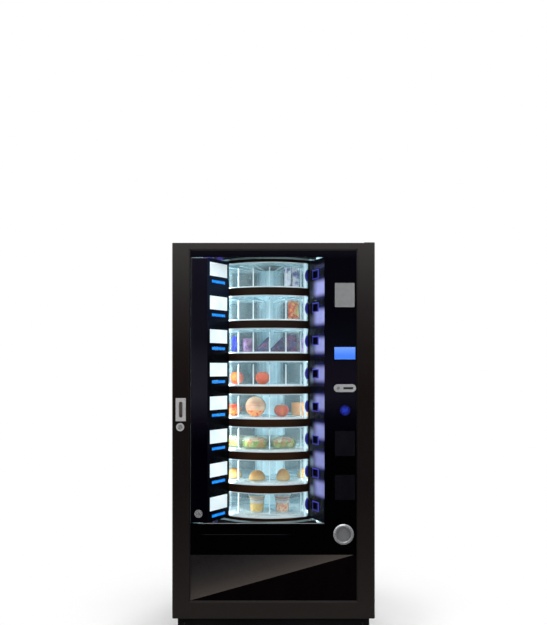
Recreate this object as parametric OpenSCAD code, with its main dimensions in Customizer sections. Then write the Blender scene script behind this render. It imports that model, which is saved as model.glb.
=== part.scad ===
// Refrigerated carousel vending machine: eight stacked turning drums behind eight curved sliding doors.
// Millimetres. X runs right and +Y runs back, seen from the front; Z is up from the floor.

/* [Overall] */
// Width over the cabinet and the main door
body_w = 890; // [880:5:1100]
// Depth from the door lever to the back panel
body_d = 870; // [860:5:1060]
// Height of the machine compartment below the cold cell
machine_h = 350; // [340:5:420]

/* [Carousel] */
// Outer radius of a drum
drum_r = 332; // [270:1:340]
// Sideways place of the drum axis
drum_x = -18; // [-24:1:-6]
// Height from one drum level to the next
level_pitch = 149; // [145:1:180]
// Height of the clear opening at each level
window_h = 115; // [95:1:118]
// Radius of the drum hub
hub_r = 76; // [72:1:110]
// Radius of the drive column
column_r = 50; // [40:1:56]
// Compartments on each of the upper four drums
fine_count = 24; // [18:2:28]
// Compartments on each of the lower four drums
coarse_count = 12; // [8:2:16]

/* [Front] */
// Width of the door frame's stiles
stile_w = 79; // [70:1:90]
// Height of the door frame's bottom rail
bottom_rail_h = 76; // [60:1:84]
// Height of the door frame's top rail
top_rail_h = 32; // [28:1:44]
// Angle of the slanted label panel to the front
label_slant = 51.2; // [46:0.2:58]
// Angle of the slanted mask to the front
mask_slant = 60.3; // [54:0.1:66]
// Bearing of the opening's left end about the drum axis
left_bearing = 31.6; // [28:0.1:33]
// Bearing of the opening's right end about the drum axis
right_bearing = 31; // [29:0.1:33]

/* [Controls] */
// Diameter of the rotate button
button_d = 46; // [36:1:56]
// Diameter of the coin return's ring
cup_d = 90; // [84:1:100]
// Thickness of a drum divider
divider_t = 4; // [3:0.5:6]

/* [Cabinet] */
// Thickness of the insulated walls
wall_t = 50; // [35:1:56]
// Thickness of the outer sheet
sheet_t = 2; // [1.5:0.5:3]
// Radius of the door's hinge pins
pin_r = 6; // [4:0.5:7]

/* [Hidden] */
$fn = 96;

// Small gap between neighbouring fixed pieces, and the radial gap of a running fit
gap = 0.3;
fit = 0.05;
eps = 0.5;
levels = 8;

// Heights
plinth_top = 172;
base_plate_t = 6;
foot_h = 40;
deck_bottom = plinth_top + machine_h;
deck_top = deck_bottom + wall_t;
level_base = deck_top + 25;
function level_z(k) = level_base + level_pitch * (levels - k);
opening_z0 = level_base - 4;
opening_z1 = level_z(1) + window_h + 9;
end_rail_h = 20;
rails_z0 = level_base - end_rail_h;
rails_z1 = level_z(1) + window_h + end_rail_h;
ceiling_z = rails_z1 + 8;
body_h = opening_z1 + 66;
casing_top = body_h - 4;
foam_top = casing_top - sheet_t - gap;

// Widths and depths
half_w = body_w / 2;
front_y = -body_d / 2;
rear_y = body_d / 2;
frame_y = front_y + 8;
panel_y = frame_y + 8;
panel_t = 4;
panel_back = panel_y + panel_t;
frame_back = frame_y + 52;
gasket_t = 12;
cabinet_y = frame_back + gasket_t;
foam_y = cabinet_y + sheet_t + gap;
cell_x = half_w - sheet_t - gap - wall_t;
cell_back = rear_y - sheet_t - gap - wall_t;
frame_x = half_w - stile_w;

// Drum, doors and rails share one axis; bearings are counted from straight ahead, plus to the right
drum_setback = 93;
drum_y = front_y + drum_setback + drum_r;
rim_w = 39;
vend_r0 = drum_r + 9;
vend_t = 4;
vend_r1 = vend_r0 + vend_t;
rail_r0 = drum_r + 5;
rail_r1 = drum_r + 20;
groove_gap = 0.5;
groove_d = 6;
vend_lap = 5;
vend_a0 = -left_bearing - 0.4;
vend_a1 = right_bearing - 1.5;
vend_travel = 30;
pull_h = 56;
pull_out = 12;
pull_span = 2;
pull_ball_r = 42;
pull_ball_a = 5.2;
rail_a0 = vend_a0 - vend_travel - 1;
rail_a1 = right_bearing + 0.5;
post_a = 2.6;
slant_r = drum_r + 22.7;
function around(r, a) = [drum_x + r * sin(a), drum_y - r * cos(a)];

// Slanted label panel, with the flat label stile beside it
label_in = around(slant_r, -left_bearing);
label_depth = label_in[1] - panel_y;
opening_x0 = label_in[0] - label_depth / tan(label_slant);
label_len = label_depth / sin(label_slant);
label_z0 = opening_z0 + 3;
label_z1 = opening_z1 - 3;
label_hinge_x = -frame_x + 7;
label_pin_r = 2;
label_knuckle_r = 4.5;
price_w = 82;
price_h = 13;
price_up = 21.5;

// Slanted mask on the other side, and the payment column beyond it
mask_in = around(slant_r, right_bearing);
mask_depth = mask_in[1] - panel_y;
opening_x1 = mask_in[0] + mask_depth / tan(mask_slant);
mask_len = (mask_in[1] - panel_back - 0.4) / sin(mask_slant);
frame_up = window_h / 2;
frame_w = 48;
frame_h = 41;
frame_s = mask_len * 0.44;
lamp_r = 8;
lamp_in = 74;

// Door edges and the hinge axis
door_z0 = plinth_top + 5;
door_z1 = casing_top - 1;
frame_z0 = door_z0 + bottom_rail_h;
frame_z1 = door_z1 - top_rail_h;
hinge_x = half_w - 15;
hinge_y = frame_y + 27;
bracket_t = 4;
gasket_x = hinge_x - 4;
gasket_w = 22;
bevel_w = 6;
lower_panel_top = opening_z0 - 139;

// Payment column: places measured from the frame's inner edge and the opening's bottom
pay_x = frame_x - 52;
info_z = opening_z0 + 1004;
display_z = opening_z0 + 748;
bezel_z = opening_z0 + 594.5;
button_z = opening_z0 + 497;
upper_cover_z = opening_z0 + 351;
lower_cover_z = opening_z0 + 158;
cup_z = opening_z0 - 48.5;
cup_x = pay_x - 6;
bezel_w = 97;
bezel_h = 34;
slot_x = pay_x + 14.5;
slot_w = 37;
slot_h = 5;
reject_x = pay_x - 29;
reject_r = 7;
cover_w = 88;
cover_h = 110;
display_w = 91;
display_h = 53;
mouth_r = cup_d / 2 - 12;
flap_r = mouth_r + 1.5;
cup_half = flap_r + 2;
cup_depth = 39;
flap_pin_z = flap_r - 1.5;
flap_y = panel_back + 2.5;
mech_y0 = panel_back + 20;
mech_y1 = panel_back + 80;

// Handle and locks
handle_x = -half_w + 38.5;
handle_z = opening_z0 + 500.5;
handle_w = 44;
handle_h = 101;
slot_len = 70;
lever_w = 11.5;
lever_pin_z = handle_z - slot_len / 2 + 5;
lever_pin_y = frame_y + 6;
lock_x = -half_w + 36;
lock_z = opening_z0 + 424;
lock_r = 11;
lock_ring_r = 17.5;
label_lock_x = opening_x0 - 40;
label_lock_z = opening_z0 + 42;

// Column drive: a keyed gear below the deck and a pinion beside it
tooth_m = 4;
gear_teeth = 60;
pinion_teeth = 20;
press_a = 20;
centre_d = tooth_m * (gear_teeth + pinion_teeth) / 2;
pinion_x = drum_x - centre_d;
gear_z = deck_bottom - 52;
gear_t = 20;
key_w = 8;
key_h = 4;
column_z0 = deck_bottom - 82;
column_z1 = ceiling_z - 4;
drum_floor_drop = 12;
top_hub_h = window_h + 2;

// Plinth and feet
plinth_x = half_w - 21;
plinth_wall = 4;
plinth_y0 = cabinet_y - 37;
plinth_y1 = rear_y - 15;
foot_x = plinth_x - 39;
foot_front_y = plinth_y0 + 45;
foot_rear_y = plinth_y1 - 45;
gusset_z = 60;

// Compressor
comp_x = 210;
comp_y = rear_y - 205;
comp_r = 78;
shell_h = 170;
comp_shell_top = plinth_top + 22 + shell_h;

// Condenser and its fan
cond_x0 = 60;
cond_x1 = 320;
cond_y = cabinet_y + 35;
cond_z0 = plinth_top + 18;
cond_z1 = plinth_top + 268;
cond_d = 60;
fan_r = 80;
fan_x = (cond_x0 + cond_x1) / 2;
fan_z = (cond_z0 + cond_z1) / 2;
fan_y = cond_y + cond_d + 38;

// Evaporator and its fan
evap_x0 = cell_x - 153;
evap_x1 = cell_x - 8;
evap_y0 = cell_back - 80;
evap_y1 = cell_back - 5;
evap_z0 = deck_top + 28;
evap_z1 = evap_z0 + 500;
evap_fan_r = 34;
evap_fan_x = (evap_x0 + evap_x1) / 2;
evap_fan_y = (evap_y0 + evap_y1) / 2;
evap_fan_z = evap_z1 + 40;

// Pipe runs
pipe_r = 5;
pipe_x = evap_fan_x;
pipe_y = evap_y0 - 22;

// Gear motor
motor_box_z0 = gear_z - 105;
motor_box_z1 = gear_z - 15;
post_r = 6;

// Power inlet
inlet_x = 330;
inlet_z = plinth_top + 60;

// Plan profile between two radii and two bearings, raised by h
module arc_block(r0, r1, a0, a1, z0, h) {
    translate([drum_x, drum_y, z0])
        rotate([0, 0, a0 - 90])
            rotate_extrude(angle = a1 - a0)
                translate([r0, 0])
                    square([r1 - r0, h]);
}

// A box given by its two corners
module box(low, high) {
    translate(low)
        cube(high - low);
}

// A round rod between two points
module rod(a, b, r) {
    d = b - a;
    len = norm(d);
    translate(a)
        rotate([0, acos(d[2] / len), atan2(d[1], d[0])])
            cylinder(h = len, r = r);
}

// A pipe that follows the given points, with ball corners
module pipe_run(points, r) {
    for (i = [0 : len(points) - 2])
        rod(points[i], points[i + 1], r);
    for (i = [1 : len(points) - 2])
        translate(points[i])
            sphere(r = r);
}

// A disc or ring that stands on the XZ plane and grows towards +Y
module front_round(x, z, r, y0, y1) {
    translate([x, y1, z])
        rotate([90, 0, 0])
            cylinder(h = y1 - y0, r = r);
}

// A slot with round ends along X, cut or raised between two depths
module front_stadium(x, z, w, h, y0, y1) {
    translate([x, y1, z])
        rotate([90, 0, 0])
            linear_extrude(y1 - y0)
                stadium(w, h);
}

module stadium(w, h) {
    square([w - h, h], center = true);
    for (s = [-1, 1])
        translate([s * (w - h) / 2, 0])
            circle(r = h / 2);
}

// Frames of the two slanted panels: local X runs along the slant, local -Y faces the viewer
module on_label() {
    translate([opening_x0, panel_y, 0])
        rotate([0, 0, label_slant])
            children();
}

module on_mask() {
    translate([mask_in[0], mask_in[1], 0])
        rotate([0, 0, -mask_slant])
            children();
}

// Involute gear outline, one tooth centred on +X
function inv_deg(a) = tan(a) * 180 / PI - a;
function roll_angle(r, base) = atan(sqrt(max(0, pow(r / base, 2) - 1)));
function half_tooth(r, n, base) = 90 / n - 0.12 + inv_deg(press_a) - inv_deg(roll_angle(r, base));
function gear_outline(n) =
    let (
        pitch_r = tooth_m * n / 2,
        base = pitch_r * cos(press_a),
        tip = pitch_r + tooth_m,
        root = pitch_r - 1.25 * tooth_m,
        start = max(base, root),
        steps = 3
    )
    [
        for (i = [0 : n - 1])
            let (mid = i * 360 / n)
                for (p = concat(
                    [[root, -half_tooth(start, n, base)]],
                    [for (s = [0 : steps])
                        let (r = start + (tip - start) * s / steps) [r, -half_tooth(r, n, base)]],
                    [for (s = [steps : -1 : 0])
                        let (r = start + (tip - start) * s / steps) [r, half_tooth(r, n, base)]],
                    [[root, half_tooth(start, n, base)]]
                ))
                    [p[0] * cos(mid + p[1]), p[0] * sin(mid + p[1])]
    ];

// ---- Cabinet ----

module side_casing() {
    linear_extrude(casing_top - sheet_t - gap - plinth_top)
        polygon([
            [-half_w, cabinet_y],
            [-half_w, rear_y - sheet_t],
            [-half_w + sheet_t, rear_y - sheet_t],
            [-half_w + sheet_t, cabinet_y + sheet_t],
            [-cell_x, cabinet_y + sheet_t],
            [-cell_x, cabinet_y]
        ]);
}

module casing_panels() {
    trim_x = cell_x - gap;
    color("#2a282a") {
        for (s = [0, 1])
            mirror([s, 0, 0])
                translate([0, 0, plinth_top])
                    side_casing();
        box([-half_w, cabinet_y, casing_top - sheet_t], [half_w, rear_y - sheet_t, casing_top]);
        box([-trim_x, cabinet_y, ceiling_z], [trim_x, cabinet_y + sheet_t, casing_top - sheet_t - gap]);
        box([-trim_x, cabinet_y, deck_bottom], [trim_x, cabinet_y + sheet_t, deck_top]);
    }
}

module back_panel() {
    vent_n = 9;
    vent_pitch = 22;
    color("#3a3a3c")
        difference() {
            box([-half_w, rear_y - sheet_t, plinth_top - base_plate_t], [half_w, rear_y, casing_top]);
            for (side = [-1, 1])
                for (i = [0 : vent_n - 1])
                    front_stadium(
                        side * 130, plinth_top + 90 + i * vent_pitch, 200, 8,
                        rear_y - sheet_t - eps, rear_y + eps
                    );
            box(
                [inlet_x - 16, rear_y - sheet_t - eps, inlet_z - 12],
                [inlet_x + 16, rear_y + eps, inlet_z + 12]
            );
        }
}

module base_frame() {
    wall_top = plinth_top - base_plate_t;
    inner_x = plinth_x - plinth_wall;
    color("#1c1c1e") {
        for (s = [0, 1])
            mirror([s, 0, 0])
                box([inner_x, plinth_y0 + 2 + gap, foot_h], [plinth_x, plinth_y1, wall_top - gap]);
        box([-inner_x + gap, plinth_y1 - plinth_wall, foot_h], [inner_x - gap, plinth_y1, wall_top - gap]);
        box(
            [-inner_x + gap, plinth_y0 + 2 + gap, foot_h],
            [inner_x - gap, plinth_y0 + 2 + plinth_wall, foot_h + 30]
        );
        translate([0, 0, wall_top])
            linear_extrude(base_plate_t)
                polygon([
                    [-plinth_x, plinth_y0], [plinth_x, plinth_y0], [plinth_x, cabinet_y],
                    [half_w, cabinet_y], [half_w, rear_y - sheet_t - gap],
                    [-half_w, rear_y - sheet_t - gap], [-half_w, cabinet_y], [-plinth_x, cabinet_y]
                ]);
        for (s = [0, 1])
            mirror([s, 0, 0])
                for (y = [foot_front_y, foot_rear_y])
                    difference() {
                        box([foot_x - 34, y - 34, gusset_z], [inner_x - gap, y + 34, gusset_z + 6]);
                        translate([foot_x, y, gusset_z - 1])
                            cylinder(h = 8, r = 8.2);
                    }
    }
}

module kick_plate() {
    slot_n = 7;
    color("#0c0c10")
        difference() {
            box(
                [-plinth_x, plinth_y0, foot_h + 5],
                [plinth_x, plinth_y0 + 2, plinth_top - base_plate_t - gap]
            );
            for (i = [0 : slot_n - 1])
                for (row = [0 : 2])
                    front_stadium(
                        (i - (slot_n - 1) / 2) * 110, foot_h + 45 + row * 20, 90, 7,
                        plinth_y0 - eps, plinth_y0 + 2 + eps
                    );
        }
}

module levelling_feet() {
    color("#202022")
        for (x = [-foot_x, foot_x])
            for (y = [foot_front_y, foot_rear_y])
                translate([x, y, 0]) {
                    cylinder(h = 10, r = 27);
                    translate([0, 0, 10])
                        cylinder(h = 9, r1 = 24, r2 = 12);
                    cylinder(h = 88, r = 8);
                    translate([0, 0, gusset_z - 13])
                        cylinder(h = 13, r = 14, $fn = 6);
                }
}

module insulated_cell() {
    in_x = cell_x - gap;
    color("#d8dcdc") {
        for (s = [0, 1])
            mirror([s, 0, 0])
                box(
                    [cell_x, foam_y, deck_bottom],
                    [half_w - sheet_t - gap, rear_y - sheet_t - gap, foam_top]
                );
        box([-in_x, cell_back, deck_bottom], [in_x, rear_y - sheet_t - gap, foam_top]);
        box([-in_x, foam_y, ceiling_z], [in_x, cell_back - gap, foam_top]);
        difference() {
            box([-in_x, foam_y, deck_bottom], [in_x, cell_back - gap, deck_top]);
            translate([drum_x, drum_y, deck_bottom - eps])
                cylinder(h = wall_t + 1, r = column_r + 2.5);
            for (dx = [-12, 12])
                translate([pipe_x + dx, pipe_y, deck_bottom - eps])
                    cylinder(h = wall_t + 1, r = pipe_r + 2);
        }
    }
}

module compressor() {
    color("#17171a")
        translate([comp_x, comp_y, plinth_top]) {
            translate([0, 0, 22])
                rotate_extrude()
                    polygon([
                        [0, 0], [comp_r - 14, 0], [comp_r, 14], [comp_r, shell_h / 2 - 3],
                        [comp_r + 4, shell_h / 2 - 3], [comp_r + 4, shell_h / 2 + 3],
                        [comp_r, shell_h / 2 + 3], [comp_r, shell_h - 34],
                        [comp_r - 12, shell_h - 14], [comp_r - 34, shell_h - 3], [24, shell_h], [0, shell_h]
                    ]);
            translate([-105, -75, 14])
                cube([210, 150, 10]);
            for (x = [-90, 90])
                for (y = [-60, 60])
                    translate([x, y, 0])
                        cylinder(h = 16, r = 12);
        }
}

// Finned coil seen from above: a spine with fins, raised to its height
module fin_pack(w, d, h, pitch) {
    linear_extrude(h) {
        translate([0, d / 2 - 5])
            square([w, 10]);
        for (x = [0 : pitch : w - 2])
            translate([x, 0])
                square([2, d]);
    }
}

module condenser_unit() {
    air_y = cond_y + cond_d;
    face_y = air_y + 28;
    color("#8b8f92") {
        translate([cond_x0, cond_y, cond_z0])
            fin_pack(cond_x1 - cond_x0, cond_d, cond_z1 - cond_z0, 8.6);
        difference() {
            box([cond_x0, air_y - 4, cond_z0 - 5], [cond_x1, face_y + 3, cond_z1 + 5]);
            box([cond_x0 + 3, air_y - 5, cond_z0], [cond_x1 - 3, face_y, cond_z1]);
            front_round(fan_x, fan_z, fan_r + 5, face_y - 1, face_y + 4);
        }
        for (s = [-1, 1])
            box([fan_x - 8, face_y, fan_z + s * 100 - 5], [fan_x + 8, fan_y + 22, fan_z + s * 100 + 5]);
        box([fan_x - 8, fan_y + 18, fan_z - 105], [fan_x + 8, fan_y + 22, fan_z + 105]);
        front_round(fan_x, fan_z, 28, fan_y + 18, fan_y + 62);
        front_round(fan_x, fan_z, 4, fan_y - 6, fan_y + 20);
        for (x = [cond_x0 + 20, cond_x1 - 40])
            box([x, cond_y + 10, plinth_top], [x + 20, air_y - 1, cond_z0 + 1]);
    }
}

// Axial fan about local Z: a hub with a blind bore and tilted blades
module fan_wheel(tip_r, hub, bore, h, blades) {
    difference() {
        union() {
            cylinder(h = h, r = hub, center = true);
            intersection() {
                cylinder(h = h, r = tip_r, center = true);
                for (i = [0 : blades - 1])
                    rotate([0, 0, i * 360 / blades])
                        translate([tip_r / 2, 0, 0])
                            rotate([32, 0, 0])
                                cube([tip_r + 4, tip_r * 0.62, 2.5], center = true);
            }
        }
        translate([0, 0, -h])
            cylinder(h = h + 6, r = bore);
    }
}

module condenser_fan() {
    color("#2b2b2e")
        translate([fan_x, fan_y, fan_z])
            rotate([90, 0, 0])
                fan_wheel(fan_r, 25, 4 + fit, 22, 5);
}

module evaporator_coil() {
    color("#a9adb0") {
        translate([evap_x0, evap_y0, evap_z0])
            fin_pack(evap_x1 - evap_x0, evap_y1 - evap_y0, evap_z1 - evap_z0, 8);
        box([evap_x0, evap_y0, evap_z1 - 1], [evap_x1, evap_y1, evap_z1 + 3]);
        for (x = [evap_x0, evap_x1 - 12])
            box([x, evap_y0 + 20, deck_top], [x + 12, evap_y1 - 20, evap_z0 + 1]);
        translate([evap_fan_x, evap_fan_y, evap_z1])
            cylinder(h = 26, r = 18);
        translate([evap_fan_x, evap_fan_y, evap_z1 + 20])
            cylinder(h = 22, r = 3);
    }
}

module evaporator_fan() {
    color("#2b2b2e")
        translate([evap_fan_x, evap_fan_y, evap_fan_z])
            fan_wheel(evap_fan_r, 10, 3 + fit, 14, 5);
}

module refrigerant_pipes() {
    top = comp_shell_top + 30;
    color("#b5713c") {
        pipe_run([
            [comp_x - 40, comp_y, comp_shell_top - 8],
            [comp_x - 40, comp_y, top],
            [cond_x0 - 20, comp_y, top],
            [cond_x0 - 20, cond_y + 30, top],
            [cond_x0 - 20, cond_y + 30, cond_z1 - 20],
            [cond_x0 + 4, cond_y + 30, cond_z1 - 20]
        ], pipe_r);
        pipe_run([
            [cond_x1 - 4, cond_y + 30, cond_z0 + 20],
            [cond_x1 + 45, cond_y + 30, cond_z0 + 20],
            [cond_x1 + 45, pipe_y, cond_z0 + 20],
            [pipe_x + 12, pipe_y, cond_z0 + 20],
            [pipe_x + 12, pipe_y, evap_z0 + 30],
            [pipe_x + 12, evap_y0 + 4, evap_z0 + 30]
        ], pipe_r);
        pipe_run([
            [pipe_x - 12, evap_y0 + 4, evap_z1 - 30],
            [pipe_x - 12, pipe_y, evap_z1 - 30],
            [pipe_x - 12, pipe_y, top],
            [comp_x + 30, pipe_y, top],
            [comp_x + 30, comp_y, top],
            [comp_x + 30, comp_y, comp_shell_top - 6]
        ], pipe_r);
    }
}

module column_bearings() {
    flange_r = column_r + 32;
    color("#b9bcc0")
        translate([drum_x, drum_y, 0]) {
            difference() {
                union() {
                    translate([0, 0, deck_top + gap])
                        cylinder(h = 9, r = flange_r);
                    translate([0, 0, deck_bottom])
                        cylinder(h = wall_t + 1, r = column_r + 2);
                }
                translate([0, 0, deck_bottom - eps])
                    cylinder(h = wall_t + 20, r = column_r + fit);
            }
            difference() {
                translate([0, 0, ceiling_z - 14])
                    cylinder(h = 14 - gap, r = flange_r);
                translate([0, 0, ceiling_z - 15])
                    cylinder(h = 20, r = column_r + fit);
            }
        }
}

module gear_motor() {
    color("#4b5257")
        difference() {
            translate([pinion_x, drum_y, 0]) {
                box([-60, -70, motor_box_z0], [40, 70, motor_box_z1]);
                for (s = [-1, 1]) {
                    translate([-50, s * 60, motor_box_z1 - 1])
                        cylinder(h = deck_bottom - motor_box_z1 + 1 - gap, r = post_r);
                    translate([30, s * 60, motor_box_z1 - 1])
                        cylinder(h = deck_bottom - motor_box_z1 + 1 - gap, r = post_r);
                }
                translate([-18, 0, motor_box_z0 - 130])
                    cylinder(h = 131, r = 45);
            }
            translate([pinion_x, drum_y, motor_box_z1 - 30])
                cylinder(h = 40, r = 10 + fit);
        }
}

module control_box() {
    x0 = -half_w + sheet_t + 8;
    y0 = drum_y + 120;
    z0 = plinth_top + 30;
    color("#c9cbc8") {
        difference() {
            box([x0, y0, z0], [x0 + 96, y0 + 190, z0 + 220]);
            box([x0 + 3, y0 + 3, z0 + 3], [x0 + 97, y0 + 187, z0 + 217]);
        }
        box([x0 + 96 + gap, y0, z0], [x0 + 99, y0 + 190, z0 + 220]);
    }
}

module power_inlet() {
    inner_y = rear_y - 24;
    color("#151517") {
        difference() {
            union() {
                box([inlet_x - 15, inner_y, inlet_z - 11], [inlet_x + 15, rear_y - 0.2, inlet_z + 11]);
                box(
                    [inlet_x - 27, rear_y - sheet_t - 3, inlet_z - 14],
                    [inlet_x + 27, rear_y - sheet_t - gap, inlet_z + 14]
                );
            }
            box([inlet_x - 12, inner_y + 3, inlet_z - 8], [inlet_x + 12, rear_y + eps, inlet_z + 8]);
        }
        for (p = [[-7, -2], [0, 3], [7, -2]])
            box(
                [inlet_x + p[0] - 1, inner_y + 2, inlet_z + p[1] - 2.5],
                [inlet_x + p[0] + 1, inner_y + 14, inlet_z + p[1] + 2.5]
            );
    }
}

module hinge_brackets() {
    pin_len = 22;
    front = hinge_y - 15;
    color("#77797c") {
        box([hinge_x - 30, front, casing_top], [half_w, cabinet_y + 60, casing_top + bracket_t]);
        translate([hinge_x, hinge_y, door_z1 - pin_len + 4])
            cylinder(h = pin_len, r = pin_r);
        box([hinge_x - 30, front, plinth_top], [half_w - 3, cabinet_y - gap, plinth_top + bracket_t]);
        translate([hinge_x, hinge_y, plinth_top + 1])
            cylinder(h = pin_len, r = pin_r);
    }
}

// ---- Carousel ----

// Keys on the column, or with extra their grooves in a hub
module keys(n, z0, z1, extra) {
    for (i = [0 : n - 1])
        rotate([0, 0, i * 360 / n + 45])
            box([0, -key_w / 2 - extra, z0], [column_r + key_h + extra, key_w / 2 + extra, z1]);
}

module drive_column() {
    color("#9a9da1")
        translate([drum_x, drum_y, 0])
            difference() {
                union() {
                    translate([0, 0, column_z0])
                        cylinder(h = column_z1 - column_z0, r = column_r);
                    keys(4, level_base - 11, level_z(1) + window_h - 4, 0);
                    keys(2, gear_z - 4, gear_z + gear_t + 4, 0);
                }
                translate([0, 0, column_z0 - eps])
                    cylinder(h = column_z1 - column_z0 + 1, r = column_r - 4);
            }
}

module drive_gear() {
    hole_ring = (column_r + tooth_m * gear_teeth / 2) / 2;
    color("#d9d4c4")
        translate([drum_x, drum_y, gear_z])
            difference() {
                rotate([0, 0, 180])
                    linear_extrude(gear_t)
                        polygon(gear_outline(gear_teeth));
                translate([0, 0, -1])
                    cylinder(h = gear_t + 2, r = column_r + gap);
                keys(2, -1, gear_t + 1, gap);
                for (i = [0 : 5])
                    rotate([0, 0, i * 60 + 15])
                        translate([hole_ring, 0, -1])
                            cylinder(h = gear_t + 2, r = 15);
            }
}

module drive_pinion() {
    color("#c9a24a")
        translate([pinion_x, drum_y, 0]) {
            translate([0, 0, gear_z - 1])
                rotate([0, 0, 180 / pinion_teeth])
                    linear_extrude(gear_t + 2)
                        polygon(gear_outline(pinion_teeth));
            translate([0, 0, motor_box_z1 - 28])
                cylinder(h = gear_z + gear_t + 8 - motor_box_z1 + 28, r = 10);
        }
}

// Number of compartments on level k
function compartments(k) = k <= levels / 2 ? fine_count : coarse_count;

module drum_dividers() {
    inner = hub_r + eps;
    outer = drum_r - rim_w;
    height = window_h - 6;
    slope = 18;
    color("#dfeef2")
        for (k = [1 : levels])
            for (i = [0 : compartments(k) - 1])
                translate([drum_x, drum_y, level_z(k) + 5 + gap])
                    rotate([90, 0, i * 360 / compartments(k) - 90])
                        translate([0, 0, -divider_t / 2])
                            linear_extrude(divider_t)
                                polygon([
                                    [inner, 0], [outer, 0], [outer, height - slope],
                                    [outer - slope, height], [inner, height]
                                ]);
}

// One drum: a skirted tray with a raised rim, a capped hub and a keyed sleeve
module drum(k) {
    sleeve_r = column_r + 9;
    bore_r = column_r + gap;
    hub_top = k == 1 ? top_hub_h : level_pitch - drum_floor_drop - eps;
    skirt_t = 4;
    color("#e6eff0")
        translate([drum_x, drum_y, level_z(k)])
            difference() {
                union() {
                    rotate_extrude()
                        polygon([
                            [bore_r, -drum_floor_drop], [sleeve_r, -drum_floor_drop], [sleeve_r, 1],
                            [drum_r - skirt_t, 1], [drum_r - skirt_t, -drum_floor_drop],
                            [drum_r, -drum_floor_drop], [drum_r, 8], [drum_r - rim_w, 8],
                            [drum_r - rim_w, 5], [hub_r, 5], [hub_r, hub_top],
                            [bore_r, hub_top], [bore_r, hub_top - 8], [hub_r - 4, hub_top - 8],
                            [hub_r - 4, 5], [bore_r, 5]
                        ]);
                    for (i = [0 : 11])
                        rotate([0, 0, i * 30 + 15])
                            box([sleeve_r - 1, -1.5, -8], [drum_r - skirt_t + 1, 1.5, 2]);
                }
                keys(4, -drum_floor_drop - 1, hub_top + 1, gap);
                for (i = [0 : 23])
                    rotate([0, 0, i * 15 + 7.5])
                        translate([drum_r - rim_w / 2, 0, 0])
                            cylinder(h = 10, r = 4);
                for (i = [0 : 11])
                    rotate([0, 0, i * 30])
                        translate([(column_r + hub_r) / 2, 0, hub_top - 9])
                            cylinder(h = 10, r = 3);
            }
}

// ---- Main door ----

// Four-sided space with sloping sides: its front at y0 is larger by grow than its back at y1
module sloped_space(x, z0, z1, y0, y1, grow) {
    intersection() {
        translate([0, 0, z0 - grow - 1])
            linear_extrude(z1 - z0 + 2 * grow + 2)
                polygon([[-x, y1], [x, y1], [x + grow, y0], [-x - grow, y0]]);
        translate([-x - grow - 1, 0, 0])
            rotate([90, 0, 90])
                linear_extrude(2 * (x + grow + 1))
                    polygon([[y1, z0], [y1, z1], [y0, z1 + grow], [y0, z0 - grow]]);
    }
}

module stile_blank(block) {
    wall = 2.5;
    cavity_x = -frame_x - 10;
    end = 32;
    difference() {
        box([-half_w, frame_y, door_z0], [-frame_x, frame_back, door_z1]);
        box([-half_w + wall + 1.5, frame_y + 3, door_z0 + end], [cavity_x, frame_back + 1, door_z1 - end]);
        // The outer front edge is cut back at 45 degrees
        translate([-half_w, frame_y, door_z0 - 1])
            rotate([0, 0, 45])
                cube([7, 7, 2 * (door_z1 - door_z0 + 2)], center = true);
        if (block)
            for (z = [door_z0 - 1, door_z1 - 20])
                translate([-hinge_x, hinge_y, z])
                    cylinder(h = 21, r = pin_r + fit);
    }
}

module door_frame() {
    rail_x = frame_x - 0.2;
    color("#302c2d")
        difference() {
            union() {
                difference() {
                    stile_blank(false);
                    box(
                        [handle_x - 16, frame_y - 1, handle_z - 42],
                        [handle_x + 16, frame_y + 4, handle_z + 42]
                    );
                    front_round(lock_x, lock_z, lock_ring_r - 3.5, frame_y - 1, frame_y + 4);
                }
                mirror([1, 0, 0])
                    stile_blank(true);
                difference() {
                    box([-rail_x, frame_y, frame_z1], [rail_x, frame_back, door_z1]);
                    box([-rail_x + 4, frame_y + 3, frame_z1 + 10], [rail_x - 4, frame_back + 1, door_z1 - 5]);
                }
                difference() {
                    box([-rail_x, frame_y, door_z0], [rail_x, frame_back, frame_z0]);
                    box([-rail_x + 4, frame_y + 3, door_z0 + 5], [rail_x - 4, frame_back + 1, frame_z0 - 10]);
                }
            }
            sloped_space(frame_x, frame_z0, frame_z1, frame_y - 0.01, panel_y, bevel_w);
        }
}

// Round lug behind the panel that carries a label hinge pin
module label_lug(z0, z1) {
    box([label_hinge_x - 5, panel_y + 1, z0], [label_hinge_x + 5, panel_back + 6, z1]);
}

module label_lug_bore(z0, z1) {
    translate([label_hinge_x, panel_back, z0])
        cylinder(h = z1 - z0, r = label_pin_r + fit);
}

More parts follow.
